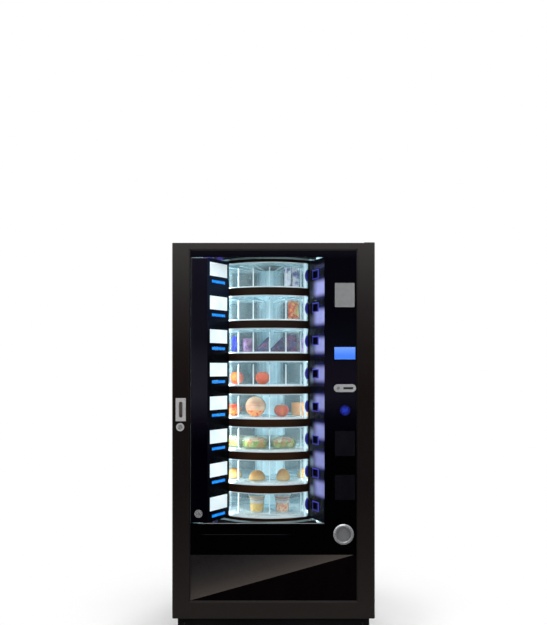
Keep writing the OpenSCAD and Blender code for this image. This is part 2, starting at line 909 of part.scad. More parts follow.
module front_panel() {
    in_x = frame_x - gap;
    lug = 14;
    color("#08070c") {
        difference() {
            union() {
                box([-in_x, panel_y, opening_z1], [in_x, panel_back, frame_z1 - gap]);
                label_lug(opening_z1, opening_z1 + lug);
            }
            label_lug_bore(opening_z1 - 1, opening_z1 + lug - 3);
        }
        difference() {
            box([opening_x1, panel_y, opening_z0 + gap], [in_x, panel_back, opening_z1 - gap]);
            box(
                [pay_x - display_w / 2 - gap, panel_y - 1, display_z - display_h / 2 - gap],
                [pay_x + display_w / 2 + gap, panel_back + 1, display_z + display_h / 2 + gap]
            );
            front_stadium(pay_x, bezel_z, bezel_w - 7, bezel_h - 7, panel_y - 1, panel_back + 1);
            front_round(pay_x, button_z, button_d / 2 + gap, panel_y - 1, panel_back + 1);
            for (z = [upper_cover_z, lower_cover_z])
                box(
                    [pay_x - cover_w / 2 + 5, panel_y - 1, z - cover_h / 2 + 5],
                    [pay_x + cover_w / 2 - 5, panel_back + 1, z + cover_h / 2 - 5]
                );
        }
        difference() {
            union() {
                box([-in_x, panel_y, lower_panel_top + gap], [in_x, panel_back, opening_z0]);
                label_lug(opening_z0 - lug, opening_z0);
            }
            label_lug_bore(opening_z0 - lug + 3, opening_z0 + 1);
            front_round(cup_x, cup_z, mouth_r + 4 + gap, panel_y - 1, panel_back + 1);
        }
    }
}

module lower_panel() {
    in_x = frame_x - gap;
    color("#0b0a0b")
        difference() {
            box([-in_x, panel_y, frame_z0 + gap], [in_x, panel_y + 16, lower_panel_top]);
            box([-in_x + 2, panel_back, frame_z0 + gap + 2], [in_x - 2, panel_y + 17, lower_panel_top - 2]);
        }
}

module display_module() {
    color("#4682ff")
        difference() {
            box(
                [pay_x - display_w / 2, panel_y - 1.5, display_z - display_h / 2],
                [pay_x + display_w / 2, panel_y + 14, display_z + display_h / 2]
            );
            box(
                [pay_x - display_w / 2 + 4, panel_y - 2, display_z - display_h / 2 + 4],
                [pay_x + display_w / 2 - 4, panel_y - 0.5, display_z + display_h / 2 - 4]
            );
        }
}

module coin_bezel() {
    color("#c8c9cc")
        difference() {
            union() {
                front_stadium(pay_x, bezel_z, bezel_w, bezel_h, panel_y - 5, panel_y);
                front_stadium(pay_x, bezel_z, bezel_w - 8, bezel_h - 8, panel_y - 1, panel_y + 7);
            }
            front_stadium(slot_x, bezel_z, slot_w, slot_h, panel_y - 6, panel_y + 8);
            front_round(reject_x, bezel_z, reject_r + fit, panel_y - 6, panel_y + 8);
        }
}

module blank_covers() {
    color("#100f14")
        for (z = [upper_cover_z, lower_cover_z])
            box(
                [pay_x - cover_w / 2, panel_y - 2, z - cover_h / 2],
                [pay_x + cover_w / 2, panel_y, z + cover_h / 2]
            );
}

module return_cup() {
    box_y1 = panel_back + cup_depth;
    outer = cup_half + 2;
    color("#b8babd")
        difference() {
            union() {
                translate([cup_x, panel_y, cup_z])
                    rotate([90, 0, 0])
                        rotate_extrude()
                            polygon([
                                [mouth_r - 1, -1], [mouth_r + 4, -1], [mouth_r + 4, 0], [cup_d / 2, 0],
                                [cup_d / 2, 3], [cup_d / 2 - 4, 7], [mouth_r + 2, 7], [mouth_r - 1, 3]
                            ]);
                front_round(cup_x, cup_z, mouth_r + 4, panel_y - 1, panel_back + 1);
                box([cup_x - outer, panel_back + gap, cup_z - outer], [cup_x + outer, box_y1, cup_z + outer]);
            }
            front_round(cup_x, cup_z, mouth_r, panel_y - 8, panel_back + 2);
            box(
                [cup_x - cup_half, panel_back + 0.6, cup_z - cup_half],
                [cup_x + cup_half, box_y1 - 2, cup_z + cup_half]
            );
            rod(
                [cup_x - outer - 1, flap_y, cup_z + flap_pin_z],
                [cup_x + outer + 1, flap_y, cup_z + flap_pin_z], 1.5 + fit
            );
            box(
                [cup_x - 12, panel_back + 5, cup_z + cup_half - 1],
                [cup_x + 12, panel_back + 16, cup_z + outer + 1]
            );
        }
}

module return_flap() {
    thick = 2.5;
    y0 = flap_y - thick / 2;
    color("#77787c") {
        difference() {
            front_round(cup_x, cup_z, flap_r, y0, y0 + thick);
            box([cup_x - 50, y0 - 1, cup_z + flap_pin_z], [cup_x + 50, y0 + 4, cup_z + 60]);
        }
        box([cup_x - 15, y0, cup_z + flap_pin_z - 6], [cup_x + 15, y0 + thick, cup_z + flap_pin_z + 1]);
        rod(
            [cup_x - cup_half - 1.6, flap_y, cup_z + flap_pin_z],
            [cup_x + cup_half + 1.6, flap_y, cup_z + flap_pin_z], 1.5
        );
    }
}

module handle_plate() {
    plate_t = 4;
    color("#c4c5c8") {
        difference() {
            union() {
                box(
                    [handle_x - handle_w / 2, frame_y - plate_t, handle_z - handle_h / 2],
                    [handle_x + handle_w / 2, frame_y, handle_z + handle_h / 2]
                );
                for (s = [-1, 1])
                    box(
                        [handle_x + s * 10 - 2, frame_y - 1, lever_pin_z - 6],
                        [handle_x + s * 10 + 2, lever_pin_y + 6, lever_pin_z + 6]
                    );
            }
            translate([handle_x, frame_y + 0.2, handle_z])
                rotate([90, 90, 0])
                    linear_extrude(plate_t + 1)
                        stadium(slot_len, 14);
            rod(
                [handle_x - 14, lever_pin_y, lever_pin_z],
                [handle_x + 14, lever_pin_y, lever_pin_z], 2.5 + fit
            );
        }
        difference() {
            union() {
                front_round(lock_x, lock_z, lock_ring_r, frame_y - plate_t, frame_y);
                front_round(lock_x, lock_z, lock_ring_r - 4, frame_y - 1, frame_y + 12);
            }
            front_round(lock_x, lock_z, lock_r + fit, frame_y - plate_t - 1, frame_y + 13);
        }
    }
}

module handle_lever() {
    color("#8a8c90")
        translate([handle_x, lever_pin_y, lever_pin_z]) {
            rod([-lever_w / 2, 0, 0], [lever_w / 2, 0, 0], 5);
            rod([-12, 0, 0], [12, 0, 0], 2.5);
            box([-lever_w / 2, -4, 0], [lever_w / 2, 2, 8]);
            box([-lever_w / 2, front_y - lever_pin_y, 6.5], [lever_w / 2, 2, slot_len - 8]);
        }
}

// Key plug with a slotted face and a cam behind: local +Y points into the door
module key_plug(len, cam) {
    rotate([90, 0, 180])
        difference() {
            cylinder(h = len, r = lock_r);
            box([-1.2, -6, -1], [1.2, 6, 6]);
        }
    box([-5, len - 1, -8], [5, len + 3, cam]);
}

module lock_cylinder() {
    color("#9fa1a5")
        translate([lock_x, frame_y - 5, lock_z])
            key_plug(22, 26);
}

module label_lock_ring() {
    color("#b4b6ba")
        difference() {
            union() {
                front_round(label_lock_x, label_lock_z, lock_ring_r, panel_y - 3, panel_y);
                front_round(label_lock_x, label_lock_z, lock_ring_r - 4, panel_y - 1, panel_back + 6);
            }
            front_round(label_lock_x, label_lock_z, lock_r + fit, panel_y - 4, panel_back + 7);
        }
}

module label_lock() {
    color("#9fa1a5")
        translate([label_lock_x, panel_y - 4, label_lock_z])
            key_plug(17, 26);
}

module label_door() {
    back = [-sin(label_slant) * panel_t, cos(label_slant) * panel_t];
    height = label_z1 - label_z0;
    color("#151220")
        difference() {
            translate([0, 0, label_z0])
                linear_extrude(height)
                    polygon([
                        [label_hinge_x, panel_y], [opening_x0, panel_y], label_in, label_in + back,
                        [opening_x0 - panel_t * tan(label_slant / 2), panel_back],
                        [label_hinge_x, panel_back]
                    ]);
            for (k = [1 : levels])
                on_label()
                    box(
                        [label_len / 2 - price_w / 2 - gap, -2, level_z(k) + price_up - price_h / 2 - gap],
                        [label_len / 2 + price_w / 2 + gap, 6, level_z(k) + price_up + price_h / 2 + gap]
                    );
            front_round(label_lock_x, label_lock_z, lock_ring_r - 4 + gap, panel_y - 1, panel_back + 1);
        }
    color("#151220")
        translate([label_hinge_x, panel_back, label_z0]) {
            cylinder(h = height, r = label_knuckle_r);
            translate([0, 0, -12])
                cylinder(h = height + 24, r = label_pin_r);
        }
}

module price_displays() {
    color("#0090ff")
        for (k = [1 : levels])
            on_label()
                box(
                    [label_len / 2 - price_w / 2, -1, level_z(k) + price_up - price_h / 2],
                    [label_len / 2 + price_w / 2, 10, level_z(k) + price_up + price_h / 2]
                );
}

// Curved rails with door grooves, end posts, and the plates that tie them to the door
module curved_rail(z0, z1, groove_top, groove_bottom) {
    difference() {
        arc_block(rail_r0, rail_r1, rail_a0, rail_a1, z0, z1 - z0);
        if (groove_top)
            arc_block(
                vend_r0 - groove_gap, vend_r1 + groove_gap, rail_a0 - 1, rail_a1 + 1,
                z1 - groove_d, groove_d + 1
            );
        if (groove_bottom)
            arc_block(
                vend_r0 - groove_gap, vend_r1 + groove_gap, rail_a0 - 1, rail_a1 + 1,
                z0 - 1, groove_d + 1
            );
    }
}

module tie_plate(z0) {
    side = around(rail_r0, rail_a0)[0];
    difference() {
        box([side, panel_back + gap, z0], [mask_in[0] + 30, drum_y - rail_r0 * 0.5, z0 + 3]);
        translate([drum_x, drum_y, z0 - 1])
            cylinder(h = 5, r = rail_r0);
    }
}

module door_rails() {
    color("#2d1e12") {
        for (k = [1 : levels - 1])
            curved_rail(level_z(k + 1) + window_h, level_z(k), true, true);
        curved_rail(rails_z0, level_base, true, false);
        curved_rail(level_z(1) + window_h, rails_z1, false, true);
        arc_block(rail_r0, rail_r1, rail_a1 + 0.1, rail_a1 + post_a, rails_z0, rails_z1 - rails_z0);
        arc_block(rail_r0, rail_r1, rail_a0 - post_a, rail_a0 - 0.1, rails_z0, rails_z1 - rails_z0);
        tie_plate(rails_z1 + gap);
        tie_plate(rails_z0 - gap - 3);
    }
}

module side_mask() {
    color("#1e2437")
        difference() {
            on_mask()
                box([0, 0, opening_z0 + gap], [mask_len, panel_t, opening_z1 - gap]);
            for (k = [1 : levels])
                on_mask()
                    box(
                        [frame_s - frame_w / 2 + 3, -1, level_z(k) + frame_up - frame_h / 2 + 3],
                        [frame_s + frame_w / 2 - 3, 6, level_z(k) + frame_up + frame_h / 2 - 3]
                    );
        }
}

// Small tray-shaped surrounds set into the mask, one at each level
module release_frames() {
    color("#2233aa")
        for (k = [1 : levels])
            on_mask()
                translate([frame_s, 0, level_z(k) + frame_up])
                    difference() {
                        union() {
                            box([-frame_w / 2, -2, -frame_h / 2], [frame_w / 2, 0, frame_h / 2]);
                            box(
                                [-frame_w / 2 + 3 + gap, -1, -frame_h / 2 + 3 + gap],
                                [frame_w / 2 - 3 - gap, 14, frame_h / 2 - 3 - gap]
                            );
                        }
                        box(
                            [-frame_w / 2 + 6, -3, -frame_h / 2 + 6],
                            [frame_w / 2 - 6, 11, frame_h / 2 - 6]
                        );
                    }
}

module lamp(x, y) {
    z0 = opening_z0 - 4;
    z1 = opening_z1 + 1;
    translate([x, y, z0])
        cylinder(h = z1 - z0, r = lamp_r);
    for (z = [z0 - 3, z1])
        box([x - 10, panel_back + gap, z], [x + 10, y + 10, z + 3]);
}

module lamp_tubes() {
    color("#cfd8ff") {
        lamp(opening_x0 + 28, panel_y + lamp_in);
        lamp(opening_x1 + 2, panel_y + lamp_in - 7);
    }
}

module coin_mechanism() {
    x0 = pay_x - 62;
    x1 = pay_x + 46;
    mech_z0 = opening_z0 + 180;
    mech_top = bezel_z - 22;
    cheek = 3;
    color("#2c2d31") {
        box([x0, mech_y0, mech_z0], [x1, mech_y1, mech_top]);
        for (x = [slot_x - slot_w / 2 - cheek - 2, slot_x + slot_w / 2 + 2])
            box([x, panel_back + 4, mech_top - 15], [x + cheek, mech_y0 + 20, bezel_z + 10]);
        difference() {
            box(
                [cup_x - 14, panel_back + 4, cup_z + cup_half + 5],
                [cup_x + 14, panel_back + 18, mech_z0 + 40]
            );
            box(
                [cup_x - 12, panel_back + 6, cup_z + cup_half + 4],
                [cup_x + 12, panel_back + 16, mech_z0 + 38]
            );
        }
        box([cup_x - 14, panel_back + 16, mech_z0 + 20], [cup_x + 14, mech_y0 + 2, mech_z0 + 40]);
        difference() {
            box([x0, mech_y0, opening_z0 + 30], [x1, mech_y1, opening_z0 + 150]);
            box([x0 + 2, mech_y0 + 2, opening_z0 + 32], [x1 - 2, mech_y1 - 2, opening_z0 + 151]);
        }
        box([x0, mech_y0, opening_z0 + 150 + gap], [x1, mech_y1, opening_z0 + 153]);
    }
}

module door_gasket() {
    z0 = deck_bottom + 6;
    z1 = casing_top - 6;
    y0 = frame_back;
    y1 = cabinet_y - gap;
    color("#1a1a1a") {
        for (s = [0, 1])
            mirror([s, 0, 0])
                box([gasket_x - gasket_w, y0, z0], [gasket_x, y1, z1]);
        for (z = [z0, z1 - gasket_w])
            box([-gasket_x + gasket_w + gap, y0, z], [gasket_x - gasket_w - gap, y1, z + gasket_w]);
    }
}

module select_button() {
    color("#1e32be") {
        front_round(pay_x, button_z, button_d / 2, panel_y - 6, panel_back + 2);
        front_round(pay_x, button_z, button_d / 2 - 3, panel_y - 7, panel_y - 5);
        front_round(pay_x, button_z, button_d / 2 + 3, panel_back + 0.5, panel_back + 3);
        front_round(pay_x, button_z, 8, panel_back + 2, mech_y0 - 5);
    }
}

module reject_button() {
    color("#b0b2b6") {
        front_round(reject_x, bezel_z, reject_r, panel_y - 8, panel_y + 9);
        front_round(reject_x, bezel_z, reject_r + 2.5, panel_y + 7.5, panel_y + 10);
    }
}

// ---- Sliding doors ----

// A clear curved pane in the rail grooves, with a small leaf-shaped pull at its right edge
module vend_door(k) {
    mid_z = level_z(k) + window_h / 2;
    color("#bfe4ee", 0.5)
        union() {
            arc_block(vend_r0, vend_r1, vend_a0, vend_a1, level_z(k) - vend_lap, window_h + 2 * vend_lap);
            intersection() {
                arc_block(
                    vend_r1 - 1, vend_r1 + pull_out, vend_a1 - pull_span, vend_a1 - 0.1,
                    mid_z - pull_h / 2, pull_h
                );
                translate(concat(around(vend_r1 + pull_out / 2, vend_a1 + pull_ball_a), [mid_z]))
                    sphere(r = pull_ball_r);
            }
        }
}

casing_panels();
back_panel();
base_frame();
kick_plate();
levelling_feet();
insulated_cell();
compressor();
condenser_unit();
evaporator_coil();
refrigerant_pipes();
column_bearings();
gear_motor();
control_box();
power_inlet();
hinge_brackets();
condenser_fan();
evaporator_fan();
drive_column();
drive_gear();
drum_dividers();
for (k = [1 : levels])
    drum(k);
drive_pinion();
door_frame();
front_panel();
lower_panel();
display_module();
coin_bezel();
blank_covers();
return_cup();
handle_plate();
door_rails();
side_mask();
release_frames();
lamp_tubes();
coin_mechanism();
door_gasket();
select_button();
reject_button();
return_flap();
handle_lever();
lock_cylinder();
label_door();
price_displays();
label_lock_ring();
label_lock();
for (k = [1 : levels])
    vend_door(k);
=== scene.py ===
import math

import bmesh
import bpy
from mathutils import Matrix, Vector


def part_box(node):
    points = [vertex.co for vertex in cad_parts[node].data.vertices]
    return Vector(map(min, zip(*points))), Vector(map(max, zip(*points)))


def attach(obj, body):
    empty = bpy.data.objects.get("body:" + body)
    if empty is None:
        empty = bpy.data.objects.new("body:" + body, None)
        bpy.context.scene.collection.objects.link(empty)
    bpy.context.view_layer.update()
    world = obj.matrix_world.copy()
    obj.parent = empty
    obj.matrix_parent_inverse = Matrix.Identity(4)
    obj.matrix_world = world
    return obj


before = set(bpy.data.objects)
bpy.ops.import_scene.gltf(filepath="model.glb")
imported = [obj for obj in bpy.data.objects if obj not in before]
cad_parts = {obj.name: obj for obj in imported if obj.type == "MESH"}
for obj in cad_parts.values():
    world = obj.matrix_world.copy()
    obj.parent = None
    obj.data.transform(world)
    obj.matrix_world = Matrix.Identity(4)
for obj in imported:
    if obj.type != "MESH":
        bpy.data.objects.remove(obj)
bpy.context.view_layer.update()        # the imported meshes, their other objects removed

scene = bpy.context.scene

# ---- Places on the machine, in metres ----

LEVELS = 8
PITCH = 0.149                # from one drum level to the next
LOWEST = 0.597               # floor line of the lowest level
SKIRT = 0.020                # how far a level hangs below its floor line
DRUM_FLOOR = 0.0054          # top of a drum's floor above the floor line
AXIS = Vector((-0.018, -0.010))
PANEL_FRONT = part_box("front_panel")[0].y

LABEL_ANGLE = math.radians(51.2)
LABEL_START = Vector((-0.2898, PANEL_FRONT))
LABEL_LENGTH = 0.137
CARD_SIZE = (0.109, 0.060, 0.0012)
CARD_RISE = 0.0755           # middle of a card above the floor line
CARD_PROUD = 0.0010

MASK_ANGLE = math.radians(60.3)
MASK_START = Vector((0.1647, -0.3140))
FRAME_REACH = 0.0512         # middle of the release frames along the mask
FRAME_RISE = 0.0575          # middle of a release frame above the floor line
PATCH_LOWEST = 0.7385        # middle of the lowest patch of painted reflection
PATCH_PITCH = 0.1277
PATCH_HIGHEST = PATCH_LOWEST + PATCH_PITCH * 7

RAILS_LOW, RAILS_HIGH = 0.5852, 1.7670    # outer faces of the end rails' decks
TUBE_LOW, TUBE_HIGH = 0.6250, 1.7300      # lit length of the lamp tubes
PRICE_RISE = 0.0215
COIN_SLOT = (0.3285, 1.1872)              # x and z of each
BUTTON = (0.314, 1.090)
INFO_PLATE = (0.313, 1.597)
INFO_SIZE = (0.086, 0.106, 0.0016)


def level_height(level):
    return LOWEST + PITCH * (LEVELS - level)


def on_drum(bearing, reach):
    """A point on the drums, its bearing in degrees from straight ahead."""
    a = math.radians(bearing)
    return AXIS.x + reach * math.sin(a), AXIS.y - reach * math.cos(a)


def on_label_panel(along, proud):
    """A point on the slanted label panel: along it, and proud of its face."""
    c, s = math.cos(LABEL_ANGLE), math.sin(LABEL_ANGLE)
    return LABEL_START.x + along * c + proud * s, LABEL_START.y + along * s - proud * c


def distance(across, up):
    return (across * across + up * up) ** 0.5


# ---- Camera ----

camera_data = bpy.data.cameras.new("camera")
camera_data.lens = 34.7
camera_data.sensor_width = 36
camera_data.shift_y = 0.0888
camera = bpy.data.objects.new("camera", camera_data)
camera.location = (0, -3.069, 1.276)
camera.rotation_euler = (math.radians(90), 0, 0)
scene.collection.objects.link(camera)
scene.camera = camera

# ---- Colour and shader tools ----


def tone(red, green, blue):
    """A colour on the everyday scale of 0 to 255, as the light values shaders use."""
    def light(c):
        c = c / 255
        return c / 12.92 if c <= 0.04045 else ((c + 0.055) / 1.055) ** 2.4
    return (light(red), light(green), light(blue), 1.0)


def shade(colour, by):
    return tuple(min(1.0, c * by) for c in colour[:3]) + (1.0,)


class Value:
    """A shader socket that plain arithmetic can be written on."""

    def __init__(self, finish, socket):
        self.finish = finish
        self.socket = socket

    def math(self, operation, *terms):
        return self.finish.add("ShaderNodeMath", {"operation": operation}, dict(enumerate(terms)))

    def __add__(self, other):
        return self.math("ADD", self, other)

    __radd__ = __add__

    def __sub__(self, other):
        return self.math("SUBTRACT", self, other)

    def __rsub__(self, other):
        return self.math("SUBTRACT", other, self)

    def __mul__(self, other):
        return self.math("MULTIPLY", self, other)

    __rmul__ = __mul__

    def __mod__(self, other):
        return self.math("MODULO", self, other)

    def __pow__(self, other):
        return self.math("POWER", self, other)

    def __abs__(self):
        return self.math("ABSOLUTE", self)

    def above(self, edge):
        return self.math("GREATER_THAN", self, edge)

    def below(self, edge):
        return self.math("LESS_THAN", self, edge)

    def either(self, other):
        return self.math("MAXIMUM", self, other)

    def both(self, other):
        return self.math("MINIMUM", self, other)


class Finish:
    """One surface finish: a Principled shader and what varies over the surface."""

    def __init__(self, name, specular=0.5, **constants):
        self.material = bpy.data.materials.new(name)
        self.material.use_nodes = True
        self.nodes = self.material.node_tree.nodes
        self.links = self.material.node_tree.links
        self.shader = self.nodes["Principled BSDF"]
        self.give("Specular IOR Level", specular)
        for socket, value in constants.items():
            self.give(socket, value)
        self.place = self.add("ShaderNodeTexCoord", out="Object")
        split = self.add("ShaderNodeSeparateXYZ", values={0: self.place})
        self.x, self.y, self.z = (Value(self, s) for s in split.socket.node.outputs)

    def add(self, kind, settings=None, values=None, out=0):
        node = self.nodes.new(kind)
        for name, value in (settings or {}).items():
            if name == "stops":
                ramp = node.color_ramp.elements
                while len(ramp) < len(value):
                    ramp.new(1.0)
                for stop, (place, colour) in zip(ramp, value):
                    stop.position = place
                    stop.color = tone(*colour)
            else:
                setattr(node, name, value)
        for key, value in (values or {}).items():
            if isinstance(value, Value):
                self.links.new(value.socket, node.inputs[key])
            else:
                node.inputs[key].default_value = value
        return Value(self, node.outputs[out])

    def give(self, socket, value):
        if isinstance(value, Value):
            self.links.new(value.socket, self.shader.inputs[socket])
        else:
            self.shader.inputs[socket].default_value = value

    def base(self, colour):
        self.give("Base Color", colour)

    def rough(self, value):
        self.give("Roughness", value)

    def glow(self, colour, strength):
        self.give("Emission Color", colour)
        self.give("Emission Strength", strength)

    def span(self, value, low, high):
        """0 below low, 1 above high, and a smooth rise between."""
        return self.add(
            "ShaderNodeMapRange", {"interpolation_type": "SMOOTHSTEP"},
            {0: value, 1: low, 2: high, 3: 0.0, 4: 1.0})

    def stretched(self, stretch):
        return self.add("ShaderNodeMapping", values={"Vector": self.place, "Scale": stretch})

    def noise(self, scale, detail=2.0, stretch=None):
        place = self.stretched(stretch) if stretch else self.place
        raw = self.add(
            "ShaderNodeTexNoise", values={"Vector": place, "Scale": scale, "Detail": detail})
        return self.span(raw, 0.3, 0.7)

    def cells(self, scale, out="Distance", stretch=None):
        place = self.stretched(stretch) if stretch else self.place
        return self.add(
            "ShaderNodeTexVoronoi", values={"Vector": place, "Scale": scale}, out=out)

    def wave(self, direction, scale):
        return self.add(
            "ShaderNodeTexWave", {"bands_direction": direction},
            {"Vector": self.place, "Scale": scale, "Distortion": 0.0}, out=1)

    def blend(self, mask, *colours):
        """From the first colour to the second; three numbers on their own are a tone."""
        first, second = (
            tone(*c) if isinstance(c, tuple) and len(c) == 3 else c for c in colours)
        return self.add(
            "ShaderNodeMix", {"data_type": "RGBA"}, {0: mask, 6: first, 7: second}, out=2)

    def ramp(self, value, stops):
        """Tones along a value, each stop a place and a tone."""
        return self.add("ShaderNodeValToRGB", {"stops": stops}, {0: value})

    def bump(self, height, depth):
        self.give("Normal", self.add(
            "ShaderNodeBump", values={"Strength": 0.7, "Distance": depth, "Height": height},
            out="Normal"))

    def edge(self, radius):
        """1 along the piece's edges, where the finishes paint a highlight (the tub paints shade
        there).
        """
        round_normal = self.add("ShaderNodeBevel", {"samples": 4}, {"Radius": radius})
        flat_normal = self.add("ShaderNodeNewGeometry", out="Normal")
        same = self.add(
            "ShaderNodeVectorMath", {"operation": "DOT_PRODUCT"},
            {0: round_normal, 1: flat_normal}, out="Value")
        return self.span(1 - same, 0.02, 0.25)

    def above_level(self):
        """Height above the nearest drum level's floor line."""
        return (self.z - (LOWEST - SKIRT)) % PITCH - SKIRT

    def drum_reach(self):
        return distance(self.x - AXIS.x, self.y - AXIS.y)

    def drum_bearing(self):
        across, ahead = self.x - AXIS.x, (self.y - AXIS.y) * -1
        return across.math("ARCTAN2", across, ahead)

    def mask_along(self):
        """Distance along the slanted mask from its start."""
        c, s = math.cos(MASK_ANGLE), math.sin(MASK_ANGLE)
        return (self.x - MASK_START.x) * c - (self.y - MASK_START.y) * s

    def mask_proud(self):
        """Distance in front of the slanted mask's face."""
        c, s = math.cos(MASK_ANGLE), math.sin(MASK_ANGLE)
        return (self.x - MASK_START.x) * -s - (self.y - MASK_START.y) * c


# ---- Finishes ----


def powder_coat(name, colour, rough=0.48, texture=1.0, specular=0.3, edge_highlight=0.5):
    f = Finish(name, specular)
    cloud = f.noise(5.0, 4)
    grain = f.noise(620.0, 2)
    body = f.blend(cloud, shade(colour, 0.84), shade(colour, 1.14))
    body = f.blend(grain * 0.25, body, shade(colour, 1.5))
    # painted highlight along the edges
    f.colour = f.blend(f.edge(0.0014) * edge_highlight, body, shade(colour, 2.4))
    f.base(f.colour)
    f.rough(rough + 0.10 * cloud + 0.05 * grain - 0.06)
    f.bump(grain, 0.00008 * texture)
    return f


def gloss_black(name, colour, rough=0.11, specular=0.2):
    f = Finish(name, specular)
    smear = f.noise(11.0, 4, (1.0, 1.0, 0.35))
    dust = f.noise(420.0, 1)
    f.colour = f.blend(smear, shade(colour, 0.85), shade(colour, 1.2))
    f.base(f.colour)
    f.rough(rough + 0.09 * smear + 0.04 * dust)
    f.bump(f.noise(36.0, 2), 0.00003)
    return f


def moulding(name, colour, rough=0.45, grain=500.0, depth=0.00005):
    f = Finish(name, 0.4)
    cloud = f.noise(9.0, 3)
    fine = f.noise(grain, 2)
    f.colour = f.blend(cloud, shade(colour, 0.9), shade(colour, 1.08))
    # painted highlight along the edges
    f.base(f.blend(f.edge(0.001) * 0.35, f.colour, shade(colour, 1.5)))
    f.rough(rough + 0.08 * cloud + 0.05 * fine - 0.04)
    f.bump(fine, depth)
    return f


def satin_metal(name, colour, rough=0.28, stretch=(1.0, 1.0, 1.0), metallic=1.0):
    f = Finish(name, Metallic=metallic)
    streak = f.noise(260.0, 3, stretch)
    stain = f.noise(28.0, 3)
    f.colour = f.blend(stain * 0.6, shade(colour, 1.05), shade(colour, 0.78))
    f.colour = f.blend(streak * 0.35, f.colour, shade(colour, 0.7))
    # painted highlight along the edges
    f.base(f.blend(f.edge(0.0008) * 0.4, f.colour, shade(colour, 1.35)))
    f.rough(rough + 0.14 * streak + 0.08 * stain - 0.08)
    f.bump(streak, 0.00003)
    return f


def rubber(name, colour):
    f = Finish(name, 0.25)
    bloom = f.noise(30.0, 4)
    fine = f.noise(900.0, 1)
    f.base(f.blend(bloom, colour, shade(colour, 1.7)))
    f.rough(0.62 + 0.16 * bloom)
    f.bump(fine, 0.00005)
    return f


def frame_coat():
    """The door frame's satin black coat with painted light and shade: paler towards its head and
    foot, and a painted highlight along its edges.
    """
    f = powder_coat("door_frame_coat", tone(30, 26, 26), 0.45, 0.7, 0.05)
    # painted light and shade: darkest at the middle, paler towards the head and foot
    body = f.ramp(f.z * 0.5, [
        (0.10, (30, 27, 25)), (0.24, (21, 17, 16)), (0.38, (13, 7, 8)),
        (0.58, (13, 6, 6)), (0.68, (17, 12, 10)), (0.77, (26, 22, 23)),
        (0.84, (36, 33, 33)), (0.91, (46, 43, 43))])
    grain = f.noise(620.0, 2)
    body = f.blend(grain * 0.06, body, (66, 62, 62))
    # painted highlight along the edges
    f.base(f.blend(f.edge(0.0014) * 0.35, body, (66, 62, 62)))
    return f


def casing_coat():
    f = powder_coat("casing_coat", tone(32, 30, 32), 0.5, 1.4, 0.2)
    scuff = f.noise(60.0, 4, (0.3, 0.3, 3.0)) * f.span(f.z, 0.55, 0.18)
    f.base(f.blend(scuff * 0.35, f.colour, (70, 68, 66)))
    return f


def back_coat():
    """Grey coated steel with a row of zinc screws down each side, rubbed near the floor."""
    f = powder_coat("back_panel_coat", tone(52, 52, 54), 0.5, 1.2, 0.3)
    column, lowest, pitch, radius = 0.428, 0.2775, 0.235, 0.0042
    across, up = abs(f.x) - column, (f.z - (lowest - pitch / 2)) % pitch - pitch / 2
    out = distance(across, up)
    head = out.below(radius)
    slot = head * (abs(across).below(0.0006).either(abs(up).below(0.0006)))
    shadow = f.span(out, radius + 0.002, radius)
    rub = f.noise(40.0, 4, (0.3, 0.3, 3.0)) * f.span(f.z, 0.6, 0.2)
    body = f.blend(rub * 0.3, f.colour, (86, 85, 84))
    body = f.blend(shadow * 0.7, body, (26, 26, 27))
    body = f.blend(head, body, (132, 132, 134))
    f.base(f.blend(slot, body, (30, 30, 30)))
    return f


def payment_gloss():
    """Black gloss with a faint violet bloom of painted sheen, and a painted highlight along the
    edge under the opening.
    """
    f = gloss_black("payment_gloss", tone(7, 6, 11), 0.1, 0.12)
    # painted sheen: a faint violet bloom up the panel
    body = f.ramp(f.z * 0.5, [
        (0.46, (1, 1, 2)), (0.525, (3, 3, 9)), (0.575, (16, 14, 22)),
        (0.63, (16, 13, 23)), (0.68, (8, 8, 16)), (0.75, (4, 4, 9)),
        (0.88, (5, 4, 9)), (0.895, (14, 13, 19))])
    smear = f.noise(11.0, 4, (1.0, 1.0, 0.35))
    body = f.blend(smear * 0.25, body, (1, 1, 3))
    # painted highlight along the edge under the opening
    ledge_highlight = f.z.above(0.5911).both(f.z.below(0.5936))
    ledge_highlight = ledge_highlight.both(f.x.below(0.223)).both(f.x.above(-0.33))
    seam = f.span(abs(f.z - 0.5430), 0.0022, 0.0006)
    seam = seam * f.span(f.x, 0.10, 0.02) * f.span(f.x, -0.33, -0.29)
    body = f.blend(seam * 0.8, body, (24, 24, 28))
    f.base(f.blend(ledge_highlight, body, (120, 120, 122)))
    return f


def flash_panel():
    """Black gloss with a grey satin wedge running across it, its grey a painted reflection."""
    f = gloss_black("flash_panel_gloss", tone(5, 3, 4), 0.14, 0.1)
    left, foot, slope = -0.366, 0.2535, 0.2785
    line = f.z - (foot + (f.x - left) * slope)
    wedge = f.span(line, 0.0, 0.0006)
    grain = f.noise(340.0, 2)
    # painted reflection: the wedge's grey, brightest along its sloping edge
    grey = f.ramp(line * 5, [
        (0.0, (60, 54, 50)), (0.29, (39, 35, 34)), (0.52, (26, 24, 25)),
        (0.78, (14, 12, 13))])
    grey = f.blend(grain * 0.08, grey, (84, 80, 76))
    f.base(f.blend(wedge, f.colour, grey))
    f.rough(0.14 + 0.3 * wedge + 0.05 * grain)
    return f


